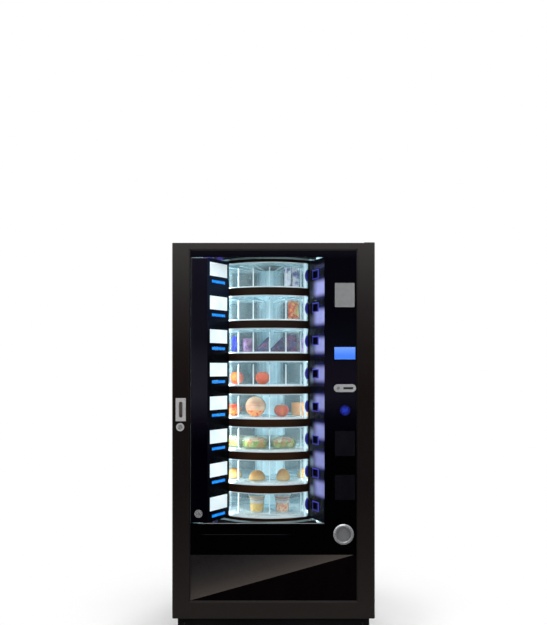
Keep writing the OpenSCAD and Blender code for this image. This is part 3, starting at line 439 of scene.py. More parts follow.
def label_gloss():
    """The label door: a painted violet sheen on its stile, navy behind the cards that pales
    upwards as painted sheen, and a painted highlight along the stile's top edge.
    """
    f = gloss_black("label_gloss", tone(10, 9, 15), 0.13, 0.12)
    stile = f.x.below(LABEL_START.x - 0.0007)
    # painted violet sheen on the stile
    flat = f.ramp(f.z * 0.5, [
        (0.47, (1, 0, 4)), (0.51, (6, 4, 13)), (0.545, (18, 16, 25)),
        (0.58, (26, 24, 33)), (0.65, (22, 21, 29)), (0.70, (13, 11, 20)),
        (0.80, (13, 11, 20)), (0.88, (17, 16, 25))])
    # navy paling upwards: painted sheen
    slant = f.blend(f.span(f.z, 1.35, 1.75), (3, 4, 6), (20, 30, 48))
    # painted highlight along the stile's top edge
    top = f.z.above(1.7597).both(stile)
    body = f.blend(stile, slant, flat)
    f.base(f.blend(top, body, (120, 118, 122)))
    return f


def painted_reflection_mask():
    """Dark panel with a column of soft violet patches of painted reflection, given out as a glow.
    """
    f = gloss_black("lit_mask_panel", tone(10, 11, 18), 0.2, 0.12)

    def from_row(middle):
        """Height away from the nearest of a column of rows, one of them at middle."""
        return abs((f.z - middle + PATCH_PITCH * 1.5) % PATCH_PITCH - PATCH_PITCH / 2)

    along = f.mask_along()
    from_patch = from_row(PATCH_LOWEST)
    rows = f.span(f.z, PATCH_LOWEST - 0.050, PATCH_LOWEST - 0.035)
    head = f.span(f.z, PATCH_HIGHEST + 0.075, PATCH_HIGHEST + 0.035)
    rows = rows * (head + f.span(f.z, 1.745, 1.715) * (1 - head) * 0.28)
    cloud = 0.85 + 0.15 * f.noise(26.0, 2)
    cloud = cloud * (0.72 + 0.28 * f.span(f.z, 1.20, 1.55))
    # painted reflection of the lit drum levels: the patches, a blue fringe round them and a pale
    # haze beside them
    glow = f.span(from_patch, 0.046, 0.018) * f.span(along, 0.018, 0.070) * rows * cloud
    fringe = f.span(from_patch, 0.062, 0.026) * f.span(along, 0.030, 0.075) * rows
    haze = f.span(from_row(PATCH_LOWEST - 0.016), 0.034, 0.004) * rows
    haze = haze * f.span(abs(along - 0.020), 0.026, 0.002)
    haze = haze * (0.25 + 0.75 * f.span(f.z, 1.55, 1.15))
    # the painted reflection's colours, given out as a glow and lightening the base
    lamp = f.blend(fringe, (3, 4, 8), (26, 24, 92))
    lamp = f.blend(haze * 0.8, lamp, (122, 142, 166))
    lamp = f.blend(glow, lamp, (160, 168, 228))
    f.base(f.blend(glow, f.colour, (70, 72, 110)))
    f.glow(lamp, 0.88)
    return f


def lit_surround():
    """The release surrounds: dark trays with a blue outline of painted highlight, given out as a
    glow.
    """
    f = gloss_black("release_surround", tone(9, 10, 26), 0.25, 0.2)
    along = f.mask_along() - FRAME_REACH
    up = f.above_level() - FRAME_RISE
    front = f.mask_proud().above(0.0008)
    # painted highlight along each edge, strongest on the right and top
    top = up.above(0.0170) * 0.75
    right = along.above(0.0202) * 0.85
    left = along.below(-0.0208) * 0.4
    foot = up.below(-0.0178) * 0.6
    line = top.either(right).either(left).either(foot) * front
    f.glow(f.blend(line, (0, 0, 6), (84, 86, 240)), 0.9)
    return f


def clear_pane():
    """A clear curved door: frosted lips with a painted glow, a painted highlight along its right
    edge, and its deep blue pull, which glows too as painted light.
    """
    f = Finish("clear_door")
    lift = f.above_level()
    bearing = f.drum_bearing()
    pull = f.drum_reach().above(0.3451)
    # the right edge, where a highlight is painted
    end = f.span(bearing, math.radians(26.2), math.radians(27.8))
    lip = lift.above(0.1095).either(lift.below(0.0035))
    frost = lip.either(end)
    smear = f.noise(14.0, 4)
    ripple = f.noise(30.0, 2, (1.0, 1.0, 0.4))
    glass = f.blend(smear, (208, 232, 238), (232, 246, 248))
    body = f.blend(frost, glass, (222, 236, 242))
    f.base(f.blend(pull, body, (8, 9, 100)))
    f.rough(0.05 + 0.06 * smear + 0.22 * frost + 0.2 * pull)
    f.give("Alpha", (0.03 + 0.03 * smear + 0.5 * lip).either(0.72 * end).either(pull))
    # painted light: a glow on the lips, the painted highlight at the right edge and the pull's
    # blue glow
    glow = f.blend(lip, (0, 0, 0), (90, 108, 116))
    glow = f.blend(end, glow, (186, 222, 232))
    f.glow(f.blend(pull, glow, (8, 7, 92)), 0.5)
    f.bump(ripple, 0.0001)
    return f


def clear_divider():
    """Clear moulded plates with a painted highlight along their outer and top edges, and a faint
    painted glow over the rest.
    """
    f = Finish("clear_divider")
    rim = f.span(f.drum_reach(), 0.284, 0.291)
    top = f.span(f.above_level(), 0.108, 0.113)
    # painted highlight along the outer and top edges
    painted_highlight = rim.either(top * 0.8)
    frost = f.noise(40.0, 3)
    f.base(f.blend(painted_highlight, (196, 222, 228), (240, 250, 252)))
    f.rough(0.12 + 0.1 * frost)
    f.give("Alpha", (0.10 + 0.05 * frost).either(0.86 * painted_highlight))
    f.glow(f.blend(painted_highlight, (20, 42, 52), (150, 186, 196)), 0.4)
    f.bump(frost, 0.0001)
    return f


def drum_white():
    """White glossy drum moulding with its cool light painted on: painted shade that makes it
    darker and bluer towards the hub, a painted highlight along its edges and a painted glow,
    stronger towards the hub.
    """
    f = Finish("drum_white")
    cloud = f.noise(12.0, 3)
    deep = f.span(f.drum_reach(), 0.26, 0.10)
    body = f.blend(cloud, (204, 222, 226), (222, 236, 238))
    # painted shade: darker and bluer towards the hub
    body = f.blend(deep * 0.5, body, (176, 206, 214))
    # painted highlight along the edges
    f.base(f.blend(f.edge(0.0015) * 0.6, body, (244, 252, 252)))
    f.rough(0.22 + 0.12 * cloud)
    # painted glow, stronger towards the hub
    f.glow(f.blend(deep, (46, 66, 76), (84, 128, 144)), 0.5)
    f.bump(f.noise(260.0, 2), 0.00005)
    return f


def rail_brown():
    """Dark brown curved rails with painted shade towards the sides. At the very ends of the stack
    they are painted near black as shade, and paler where the deck shows: painted teal with a glow
    as painted light, and a painted violet glow at the top left.
    """
    f = Finish("rail_brown", 0.04)
    cloud = f.noise(10.0, 3)
    # painted shade towards the sides
    side = f.span(abs(f.drum_bearing()), 0.15, 0.5)
    body = f.blend(f.span(f.z, 0.70, 1.60), (41, 23, 8), (29, 22, 16))
    body = f.blend(cloud * 0.35, body, (22, 14, 7))
    body = f.blend(side * 0.6, body, (20, 9, 6))
    # the ends of the stack: painted near black as shade, and the deck there painted teal and
    # glowing as painted light
    ends = f.z.below(RAILS_LOW).either(f.z.above(RAILS_HIGH))
    deck = ends * f.drum_reach().below(0.3525)
    teal = f.blend(f.noise(9.0, 3, (1.0, 1.0, 3.0)), (74, 88, 92), (140, 164, 168))
    # painted violet glow at the top left
    violet = f.z.above(RAILS_HIGH) * f.span(f.x, -0.345, -0.310) * f.span(f.x, -0.225, -0.235)
    body = f.blend(ends, body, (10, 10, 12))
    f.base(f.blend(deck, body, teal))
    f.rough(0.55 + 0.1 * cloud)
    glow = f.blend(deck, (0, 0, 0), (54, 70, 74))
    f.glow(f.blend(violet * (1 - deck), glow, (96, 84, 196)), 0.4)
    f.bump(f.noise(420.0, 2), 0.00005)
    return f


def message_screen():
    """A lit screen, paler towards its top, with fine lines."""
    f = Finish("message_screen", 0.4)
    foot = tone(66, 124, 250)
    lines = f.wave("Z", 260.0)
    cloud = f.noise(50.0, 2)
    lit = f.blend(f.span(f.z, 1.325, 1.366), foot, (116, 160, 252))
    lit = f.blend(lines * 0.1 + cloud * 0.08, lit, shade(foot, 0.6))
    f.base(shade(foot, 0.25))
    f.rough(0.18 + 0.08 * cloud)
    f.glow(lit, 0.9)
    return f


def price_bar():
    f = Finish("price_bar", 0.4)
    mid = f.span(abs(f.above_level() - PRICE_RISE), 0.0064, 0.003)
    cloud = f.noise(70.0, 2, (1.0, 1.0, 1.6))
    lit = f.blend(mid, (0, 70, 190), (6, 146, 255))
    f.base(tone(0, 40, 90))
    f.rough(0.2 + 0.08 * cloud)
    f.glow(f.blend(cloud * 0.35, lit, (60, 180, 255)), 0.95)
    return f


def lit_tube():
    f = Finish("lamp_tube_glass")
    end = f.z.below(TUBE_LOW).either(f.z.above(TUBE_HIGH))
    glow = f.blend(f.noise(8.0, 2), (226, 238, 255), (244, 250, 255))
    f.base(f.blend(end, (236, 240, 248), (20, 20, 28)))
    f.rough(0.3 + 0.1 * f.noise(90.0, 2))
    # the unlit end caps get a faint violet painted glow
    f.glow(f.blend(end, glow, (10, 9, 26)), 3.0)
    return f


def fins(name, colour, pitch, ends):
    """Bright fins, dirtied by the share given as ends; the copper bends at their ends are not
    drawn here.
    """
    f = satin_metal(name, colour, 0.34)
    dirt = f.noise(34.0, 4)
    f.base(f.blend(dirt * ends, f.colour, (92, 88, 84)))
    f.bump(f.wave("X", pitch), 0.0002)
    return f


def copper():
    f = satin_metal("drawn_copper", tone(196, 120, 84), 0.3)
    tarnish = f.noise(45.0, 4)
    f.base(f.blend(tarnish * 0.6, f.colour, (104, 62, 46)))
    return f


def enamel(name, colour, rough=0.3):
    f = powder_coat(name, colour, rough, 0.5, 0.5, 0.3)
    grime = f.noise(20.0, 4) * 0.3
    f.base(f.blend(grime, f.colour, (74, 70, 64)))
    return f


def liner():
    """White liner inside, with a faint cool tint, rub marks and a cool painted glow for the light
    in the cell.
    """
    f = moulding("cell_liner", tone(206, 222, 222), 0.35, 300.0, 0.00006)
    rub = f.noise(55.0, 4, (1.0, 1.0, 0.3))
    f.base(f.blend(rub * 0.15, f.colour, (168, 182, 184)))
    # painted glow for the light in the cell
    f.glow(f.blend(f.noise(3.0), (44, 72, 82), (58, 88, 98)), 0.5)
    return f


def coin_bezel_satin():
    """Brushed oval plate, black round its coin slot: the dark throat and the painted shade of its
    recess.
    """
    f = satin_metal("coin_bezel_satin", tone(186, 188, 190), 0.3, (0.2, 1, 4), metallic=0.5)
    across, up = abs(f.x - COIN_SLOT[0]), abs(f.z - COIN_SLOT[1])
    # black round the slot: the dark throat and painted shade of the recess
    throat_and_shade = f.span(across, 0.0225, 0.0205) * f.span(up, 0.0056, 0.0040)
    f.base(f.blend(throat_and_shade, f.colour, (16, 16, 18)))
    return f


def blue_button():
    f = Finish("blue_button", 0.4)
    dome = f.span(distance(f.x - BUTTON[0], f.z - BUTTON[1]), 0.022, 0.004)
    cloud = f.noise(60.0, 2)
    f.base(f.blend(dome, (9, 14, 80), (22, 38, 140)))
    f.rough(0.22 + 0.1 * cloud)
    f.glow(f.blend(dome, (4, 8, 46), (14, 26, 104)), 0.7)
    f.bump(cloud, 0.00004)
    return f


FINISHES = {
    "casing_panels": casing_coat(),
    "back_panel": back_coat(),
    "base_frame": powder_coat("base_frame_coat", tone(22, 22, 24), 0.5, 1.2, 0.2),
    "kick_plate": powder_coat("kick_plate_coat", tone(9, 8, 11), 0.5, 1.0, 0.1),
    "levelling_feet": rubber("foot_rubber", tone(26, 26, 28)),
    "insulated_cell": liner(),
    "compressor": enamel("compressor_enamel", tone(24, 24, 27)),
    "condenser_unit": fins("condenser_fins", tone(176, 178, 180), 260.0, 0.5),
    "evaporator_coil": fins("evaporator_fins", tone(196, 199, 201), 240.0, 0.2),
    "refrigerant_pipes": copper(),
    "column_bearings": satin_metal("turned_steel", tone(186, 187, 188), 0.24, (1, 1, 6)),
    "gear_motor": enamel("gearbox_enamel", tone(84, 88, 92), 0.4),
    "control_box": powder_coat("control_box_coat", tone(190, 192, 188), 0.45, 1.0, 0.4, 0.2),
    "power_inlet": moulding("inlet_black", tone(24, 24, 25), 0.4),
    "hinge_brackets": satin_metal("bracket_zinc", tone(128, 129, 131), 0.4, (5, 1, 1)),
    "condenser_fan": moulding("fan_black", tone(34, 34, 36), 0.5),
    "evaporator_fan": moulding("fan_black_small", tone(36, 36, 38), 0.5),
    "drive_column": satin_metal("anodised_tube", tone(160, 164, 168), 0.32, (1, 1, 0.2)),
    "drive_gear": moulding("nylon_gear", tone(214, 206, 182), 0.5),
    "drum_dividers": clear_divider(),
    "drive_pinion": satin_metal("turned_brass", tone(196, 160, 92), 0.28, (1, 1, 6)),
    "door_frame": frame_coat(),
    "front_panel": payment_gloss(),
    "lower_panel": flash_panel(),
    "display_module": message_screen(),
    "coin_bezel": coin_bezel_satin(),
    "blank_covers": gloss_black("cover_gloss", tone(11, 11, 16), 0.16, 0.2),
    "return_cup": satin_metal("return_ring_satin", tone(166, 167, 169), 0.24, metallic=0.6),
    "handle_plate": satin_metal(
        "handle_satin", tone(212, 209, 210), 0.3, (4, 1, 0.3), metallic=0.6),
    "door_rails": rail_brown(),
    "side_mask": painted_reflection_mask(),
    "release_frames": lit_surround(),
    "lamp_tubes": lit_tube(),
    "coin_mechanism": moulding("changer_grey", tone(42, 43, 47), 0.5),
    "door_gasket": rubber("seal_rubber", tone(22, 22, 23)),
    "select_button": blue_button(),
    "reject_button": satin_metal("reject_button_satin", tone(150, 151, 154), 0.26, metallic=0.6),
    "return_flap": satin_metal("flap_grey", tone(122, 123, 125), 0.46, (1, 1, 1), metallic=0.5),
    "handle_lever": satin_metal("lever_satin", tone(86, 80, 76), 0.34, (4, 1, 0.3), metallic=0.6),
    "lock_cylinder": satin_metal("lock_nickel", tone(180, 180, 182), 0.24, metallic=0.6),
    "label_door": label_gloss(),
    "price_displays": price_bar(),
    "label_lock_ring": satin_metal("label_ring_nickel", tone(186, 187, 190), 0.22, metallic=0.7),
    "label_lock": satin_metal("label_lock_nickel", tone(172, 172, 175), 0.24, metallic=0.7),
}
drum_finish = drum_white()
pane_finish = clear_pane()
for level in range(1, LEVELS + 1):
    FINISHES[f"drum_{level}"] = drum_finish
    FINISHES[f"vend_door_{level}"] = pane_finish

for name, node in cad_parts.items():
    node.data.materials.clear()
    node.data.materials.append(FINISHES[name].material)

# ---- Modelling tools ----


def clear_choice():
    if bpy.context.mode != "OBJECT":
        bpy.ops.object.mode_set(mode="OBJECT")
    bpy.ops.object.select_all(action="DESELECT")


def fix_place():
    bpy.ops.object.transform_apply(location=True, rotation=True, scale=True)


def only(piece):
    clear_choice()
    piece.select_set(True)
    bpy.context.view_layer.objects.active = piece


def begin(kind, name, **size):
    """Adds one primitive and opens it for shaping."""
    clear_choice()
    getattr(bpy.ops.mesh, f"primitive_{kind}_add")(**size)
    piece = bpy.context.object
    piece.name = name
    fix_place()
    bpy.ops.object.mode_set(mode="EDIT")
    return piece


def choose(piece, test, kind="VERT"):
    """Chooses the open piece's vertices, edges or faces whose middle passes the test."""
    bpy.ops.mesh.select_mode(type=kind)
    bpy.ops.mesh.select_all(action="DESELECT")
    shape = bmesh.from_edit_mesh(piece.data)
    for part in {"VERT": shape.verts, "EDGE": shape.edges, "FACE": shape.faces}[kind]:
        corners = [vert.co for vert in getattr(part, "verts", [part])]
        part.select_set(bool(test(sum(corners, Vector()) / len(corners))))
    shape.select_flush_mode()
    bmesh.update_edit_mesh(piece.data)


def begin_block(name, width, depth, height):
    piece = begin("cube", name, size=1)
    grow(width, depth, height)
    return piece


def grow(x=1.0, y=1.0, z=1.0, about=(0, 0, 0)):
    bpy.ops.transform.resize(value=(x, y, z), center_override=about)


def shift(x=0.0, y=0.0, z=0.0):
    bpy.ops.transform.translate(value=(x, y, z))


def inset(thickness, depth=0.0):
    bpy.ops.mesh.inset(thickness=thickness, depth=depth)


def extrude(x=0.0, y=0.0, z=0.0):
    bpy.ops.mesh.extrude_region_move(TRANSFORM_OT_translate={"value": (x, y, z)})


def divide(cuts):
    bpy.ops.mesh.select_all(action="SELECT")
    bpy.ops.mesh.subdivide(number_cuts=cuts)


def end_shape():
    bpy.ops.object.mode_set(mode="OBJECT")


def modify(piece, kind, **settings):
    only(piece)
    step = piece.modifiers.new(kind.lower(), kind)
    for name, value in settings.items():
        setattr(step, name, value)
    bpy.ops.object.modifier_apply(modifier=step.name)


def soften(piece, angle=40):
    only(piece)
    bpy.ops.object.shade_smooth_by_angle(angle=math.radians(angle))


def swell(piece, levels=1):
    modify(piece, "SUBSURF", levels=levels, render_levels=levels)


def crumple(piece, scale, strength):
    """Pushes the surface in and out by soft clouds of the given scale."""
    clouds = bpy.data.textures.new(piece.name + "_clouds", "CLOUDS")
    clouds.noise_scale = scale
    modify(piece, "DISPLACE", texture=clouds, strength=strength, mid_level=0.5)


def stand(piece, rise=None):
    """Lifts the piece by rise, or until its lowest point is at z = 0."""
    only(piece)
    if rise is None:
        rise = -min(v.co.z for v in piece.data.vertices)
    piece.location.z = rise
    fix_place()


def smooth(piece):
    only(piece)
    bpy.ops.object.shade_smooth()


def settle(piece, finish, body):
    """Fixes a finished piece in place, gives it its finish and the body it rides on."""
    only(piece)
    fix_place()
    piece.data.name = piece.name
    piece.data.materials.clear()
    piece.data.materials.append(finish.material)
    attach(piece, body)
    return piece


def copy_of(pattern, name, place):
    piece = pattern.copy()
    piece.data = pattern.data.copy()
    piece.name = name
    scene.collection.objects.link(piece)
    piece.matrix_world = place
    return piece


def turned(x, y, z, angle):
    return Matrix.Translation((x, y, z)) @ Matrix.Rotation(angle, 4, "Z")


def card_blank(name, width, height, thick, corner):
    """A thin card or plate with rounded corners and a faint raised border, facing -Y."""
    piece = begin_block(name, width, thick, height)
    choose(piece, lambda p: abs(p.y) < thick * 0.1, "EDGE")
    bpy.ops.mesh.bevel(offset=corner, segments=4, affect="EDGES")
    choose(piece, lambda p: p.y < -thick * 0.49, "FACE")
    inset(0.0014)
    inset(0.0005, -thick * 0.2)
    end_shape()
    bpy.ops.object.shade_flat()
    return piece


# ---- Plain cards and the plain information plate ----


def card_white():
    """Plain white card, with a painted glow for the light of the lamps beside it."""
    f = Finish("label_card", 0.3)
    cloud = f.noise(16.0, 2)
    f.base(f.blend(cloud, (214, 226, 230), (226, 236, 238)))
    f.rough(0.4 + 0.12 * f.noise(120.0, 3))
    # painted glow for the light of the lamps beside the card
    f.glow(f.blend(cloud, (196, 214, 222), (216, 232, 236)), 0.36)
    f.bump(f.noise(500.0, 2), 0.00004)
    return f


card = card_blank("card_pattern", *CARD_SIZE, 0.0012)
card_finish = card_white()
card_x, card_y = on_label_panel(LABEL_LENGTH / 2, CARD_PROUD)
for level in range(1, LEVELS + 1):
    place = turned(card_x, card_y, level_height(level) + CARD_RISE, LABEL_ANGLE)
    settle(copy_of(card, f"label_card_{level}", place), card_finish, "label_door")
bpy.data.objects.remove(card)

plate_finish = satin_metal("plate_satin", tone(140, 141, 142), 0.36, (0.2, 1, 5), metallic=0.5)
plate = card_blank("information_plate", *INFO_SIZE, 0.002)
plate.location = (INFO_PLATE[0], PANEL_FRONT - INFO_SIZE[2] / 2 - 0.0001, INFO_PLATE[1])
settle(plate, plate_finish, "main_door")

# ---- Fixings that show ----

screw_finish = satin_metal("screw_zinc", tone(150, 150, 152), 0.34)


def screw_blank(name, radius):
    """A pan head with a round sunk recess, its head facing +Z."""
    height = 0.0016
    piece = begin(
        "cylinder", name, vertices=20, radius=radius, depth=height, location=(0, 0, height / 2))
    choose(piece, lambda p: p.z > height * 0.94, "FACE")
    inset(radius * 0.28, 0.0005)
    inset(radius * 0.22)
    inset(radius * 0.10, -0.0006)
    end_shape()
    soften(piece, 35)
    return piece


FACING_FRONT = Matrix.Rotation(math.radians(90), 4, "X")
screw = screw_blank("screw_pattern", 0.0042)
top_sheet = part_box("casing_panels")[1].z
top_places = [(x, y) for x in (-0.415, -0.14, 0.14, 0.415) for y in (-0.32, 0.405)]
for count, (x, y) in enumerate(top_places, start=1):
    place = turned(x, y, top_sheet, 0.3 * count)
    settle(copy_of(screw, f"top_screw_{count}", place), screw_finish, "cabinet")
black_screw = moulding("screw_black", tone(12, 12, 13), 0.4)
kick_low, kick_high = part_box("kick_plate")
for side, x in (("left", kick_low.x + 0.03), ("right", kick_high.x - 0.03)):
    place = Matrix.Translation((x, kick_low.y, 0.145)) @ FACING_FRONT
    settle(copy_of(screw, f"kick_screw_{side}", place), black_screw, "cabinet")
bpy.data.objects.remove(screw)

# ---- The dark shutter behind the coin slot, which also stands in for the shade inside the slot ----

SHUTTER_HEIGHT = 0.0105
SHUTTER_RECESS = 0.0078
# a shutter, made dark to stand in for the shade behind the slot
shutter_and_shade = begin_block("coin_shutter", 0.034, 0.0010, SHUTTER_HEIGHT)
choose(shutter_and_shade, lambda p: p.z > SHUTTER_HEIGHT * 0.48, "FACE")
extrude(y=0.002, z=0.0012)
end_shape()
modify(shutter_and_shade, "BEVEL", width=0.0003, segments=2)
soften(shutter_and_shade)
shutter_and_shade.location = (COIN_SLOT[0], PANEL_FRONT + SHUTTER_RECESS, COIN_SLOT[1])
settle(shutter_and_shade, moulding("shutter_black", tone(9, 9, 10), 0.5), "main_door")

# ---- Plain food on the drums ----


def apple_skin():
    f = Finish("apple_skin")
    flush = f.noise(16.0, 4, (1.0, 1.0, 0.5))
    speck = f.cells(420.0)
    skin = f.ramp(flush, [
        (0.0, (226, 140, 44)), (0.35, (214, 74, 26)), (0.7, (192, 36, 18)),
        (1.0, (160, 16, 14))])
    f.base(f.blend(f.span(speck, 0.25, 0.12) * 0.5, skin, (232, 190, 110)))
    f.rough(0.24 + 0.1 * flush)
    f.bump(f.noise(60.0, 2), 0.0002)
    return f


def orange_peel():
    f = Finish("orange_peel", 0.4)
    pores = f.cells(330.0)
    cloud = f.noise(24.0, 3)
    f.base(f.blend(cloud, (212, 62, 0), (236, 98, 6)))
    f.rough(0.38 + 0.12 * cloud)
    f.bump(pores, 0.0006)
    return f


def bun_crust():
    f = Finish("bun_crust", 0.3)
    bake = f.noise(20.0, 4)
    seeds = f.span(f.cells(150.0, stretch=(1.0, 1.0, 2.0)), 0.22, 0.16)
    top = f.span(f.above_level(), 0.012, 0.05)
    crust = f.blend(bake, (200, 148, 60), (172, 112, 36))
    crust = f.blend(top, (206, 170, 104), crust)
    f.base(f.blend(seeds * 0.7, crust, (244, 228, 186)))
    f.rough(0.5 + 0.2 * bake)
    f.bump(bake + seeds * 0.6, 0.0008)
    return f


def foil(name, main, second, third):
    """A crumpled printed bag with plain drifts of colour."""
    f = Finish(name, 0.6)
    drift = f.noise(22.0, 3)
    crease = f.noise(70.0, 5)
    f.base(f.ramp(drift, [(0.0, third), (0.4, main), (0.75, second), (1.0, third)]))
    f.rough(0.24 + 0.22 * crease)
    f.bump(crease, 0.0014)
    return f


def salad_mix():
    f = Finish("salad_mix", 0.4)
    pick = f.cells(62.0, out="Color")
    grey = f.add("ShaderNodeRGBToBW", values={0: pick})
    f.base(f.ramp(grey, [
        (0.0, (40, 74, 28)), (0.26, (120, 158, 40)), (0.42, (198, 196, 92)),
        (0.52, (226, 122, 34)), (0.64, (206, 66, 26)), (0.78, (236, 222, 180))]))
    f.rough(0.34 + 0.2 * f.noise(200.0, 2))
    f.bump(f.cells(62.0), 0.002)
    return f


def clear_lid(name, colour, alpha):
    f = Finish(name)
    smear = f.noise(30.0, 3)
    f.base(f.blend(smear, colour, shade(colour, 1.1)))
    f.rough(0.08 + 0.1 * smear)
    f.give("Alpha", alpha + 0.12 * smear)
    f.bump(smear, 0.0003)
    return f


def filled_cup(name, filling, second):
    """A white cup whose clear lower half shows its filling."""
    f = Finish(name)
    lift = f.above_level()
    lumps = f.noise(90.0, 3)
    inside = f.blend(lumps, filling, second)
    window = f.span(lift, 0.010, 0.014) * f.span(lift, 0.052, 0.048)
    under_lid = f.span(lift, 0.0695, 0.0720) * f.span(lift, 0.0815, 0.0800)
    cup = f.blend(f.noise(20.0, 2), (188, 194, 190), (212, 216, 212))
    cup = f.blend(f.span(abs(lift - 0.066), 0.0022, 0.0008), cup, (120, 126, 122))
    # painted shade on the filling just under the lid
    cup = f.blend(under_lid * 0.75, cup, shade(filling, 0.6))
    f.base(f.blend(window * 0.9, cup, inside))
    f.rough(0.22 + 0.1 * lumps)
    f.bump(lumps * window, 0.0004)
    return f


def card_plain(name, colour, second):
    f = Finish(name, 0.4)
    cloud = f.noise(26.0, 3)
    f.base(f.blend(cloud, colour, second))
    f.rough(0.34 + 0.16 * cloud)
    f.bump(f.noise(140.0, 3), 0.0002)
    return f


def fruit_tub():
    """A cream tub: cut fruit shows through its clear lower third."""
    f = Finish("tub_cream", 0.4)
    lift = f.above_level()
    cloud = f.noise(26.0, 3)
    body = f.blend(cloud, (214, 190, 156), (196, 150, 122))
    fruit = f.blend(f.span(f.cells(80.0), 0.3, 0.5), (206, 84, 26), (226, 150, 84))
    body = f.blend(f.span(lift, 0.040, 0.030), body, fruit)
    shelf = f.span(abs(lift - 0.056), 0.0016, 0.0006)
    body = f.blend(shelf * 0.6, body, (150, 98, 76))
    # painted shade along the tub's rims and grooves
    f.base(f.blend(f.edge(0.004) * 0.8, body, (150, 104, 80)))
    f.rough(0.34 + 0.16 * cloud)
    f.bump(f.noise(140.0, 3), 0.0002)
    return f


def fruit_blank(name, radius, squash, dimple):
    """A round fruit standing on z = 0, with a dimple at its top; its stalk, if any, is a piece of
    its own.
    """
    piece = begin("uv_sphere", name, segments=20, ring_count=14, radius=radius)
    grow(1, 1, squash)
    choose(piece, lambda p: p.z > radius * squash * 0.85)
    shift(z=-dimple * 0.4)
    choose(piece, lambda p: p.z > radius * squash * 0.97 - dimple * 0.4)
    shift(z=-dimple * 0.8)
    choose(piece, lambda p: p.z < -radius * squash * 0.6)
    grow(0.9, 0.9, 1)
    choose(piece, lambda p: p.z < -radius * squash * 0.93)
    shift(z=dimple * 0.35)
    end_shape()
    swell(piece)
    smooth(piece)
    stand(piece)
    return piece


def stalk_blank(name, height, top):
    piece = begin("cone", name, vertices=8, radius1=0.0013, radius2=0.0020, depth=height,
                  location=(0, 0, top + height * 0.3))
    choose(piece, lambda p: p.z > top + height * 0.7)
    shift(x=0.0025)
    end_shape()
    soften(piece, 60)
    return piece


def bun_blank(name, width, height):
    piece = begin("uv_sphere", name, segments=24, ring_count=14, radius=width / 2)
    choose(piece, lambda p: p.z > 0)
    grow(1, 1, height * 1.45 / width)
    choose(piece, lambda p: p.z < 0)
    grow(1, 1, height * 0.55 / width)
    choose(piece, lambda p: p.z < -height * 0.18)
    grow(0.88, 0.88, 0.6)
    end_shape()
    swell(piece)
    smooth(piece)
    stand(piece)
    return piece


def bag_blank(name, width, height, thick, folds, slump=0.0):
    """A pillow bag: full in the middle, pinched at its seams, and slumped down to one side."""
    piece = begin_block(name, width, thick, height)
    divide(9)
    for step in range(11):
        high = height * (step / 10 - 0.5)
        full = max(0.06, math.sin(math.pi * step / 10) ** 0.6)
        choose(piece, lambda p: abs(p.z - high) < height * 0.02)
        grow(1 - 0.06 * math.sin(math.pi * step / 10), full, 1)
    for step in range(11):
        wide = width * (step / 10 - 0.5)
        full = max(0.25, math.sin(math.pi * step / 10) ** 0.4)
        choose(piece, lambda p: abs(p.x - wide) < width * 0.035)
        grow(1, full, 1 - slump * (1 - step / 10), about=(0, 0, -height / 2))
    end_shape()
    swell(piece)
    crumple(piece, 0.018, folds)
    smooth(piece)
    stand(piece)
    return piece


def tray_blank(name, width, depth, height):
    """An open tapered tray with a flat lip."""
    piece = begin_block(name, width, depth, height)
    choose(piece, lambda p: p.z < 0)
    grow(0.86, 0.82, 1)
    choose(piece, lambda p: p.z > height * 0.49, "FACE")
    inset(0.0045)
    extrude(z=-height * 0.8)
    grow(0.9, 0.86, 1)
    end_shape()
    modify(piece, "BEVEL", width=0.0018, segments=2)
    soften(piece, 50)
    stand(piece, height / 2)
    return piece


def mound_blank(name, width, depth, low, high):
    """A lumpy heap of salad that fills the tray."""
    piece = begin_block(name, width, depth, high - low)
    divide(5)
    choose(piece, lambda p: p.z > (high - low) * 0.4
           and (abs(p.x) > width * 0.4 or abs(p.y) > depth * 0.4))
    shift(z=-(high - low) * 0.3)
    end_shape()
    swell(piece, 2)
    crumple(piece, 0.012, 0.005)
    smooth(piece)
    stand(piece, (low + high) / 2)
    return piece


def lid_blank(name, width, depth, low, height):
    """A clear domed lid, open below."""
    piece = begin_block(name, width, depth, height)
    choose(piece, lambda p: p.z > 0)
    grow(0.88, 0.84, 1)
    choose(piece, lambda p: p.z < -height * 0.49, "FACE")
    bpy.ops.mesh.delete(type="FACE")
    end_shape()
    modify(piece, "BEVEL", width=0.004, segments=3)
    modify(piece, "SOLIDIFY", thickness=0.0006, offset=-1)
    soften(piece, 50)
    stand(piece, low + height / 2)
    return piece


def cup_blank(name, foot, mouth, height):
    """A flared cup with a rolled rim and a sunken film lid."""
    piece = begin(
        "cone", name, vertices=32, radius1=foot, radius2=mouth * 0.86, depth=height * 0.82,
        end_fill_type="NGON", location=(0, 0, height * 0.41))
    choose(piece, lambda p: p.z > height * 0.81, "FACE")
    extrude(z=height * 0.14)
    grow(1.13, 1.13, 1)
    extrude(z=height * 0.015)
    grow(1.05, 1.05, 1)
    extrude(z=height * 0.025)
    inset(mouth * 0.09)
    inset(mouth * 0.03, -0.003)
    choose(piece, lambda p: p.z < height * 0.01, "FACE")
    inset(foot * 0.2, -0.0015)
    end_shape()
    modify(piece, "BEVEL", width=0.0008, segments=2, limit_method="ANGLE")
    soften(piece)
    return piece


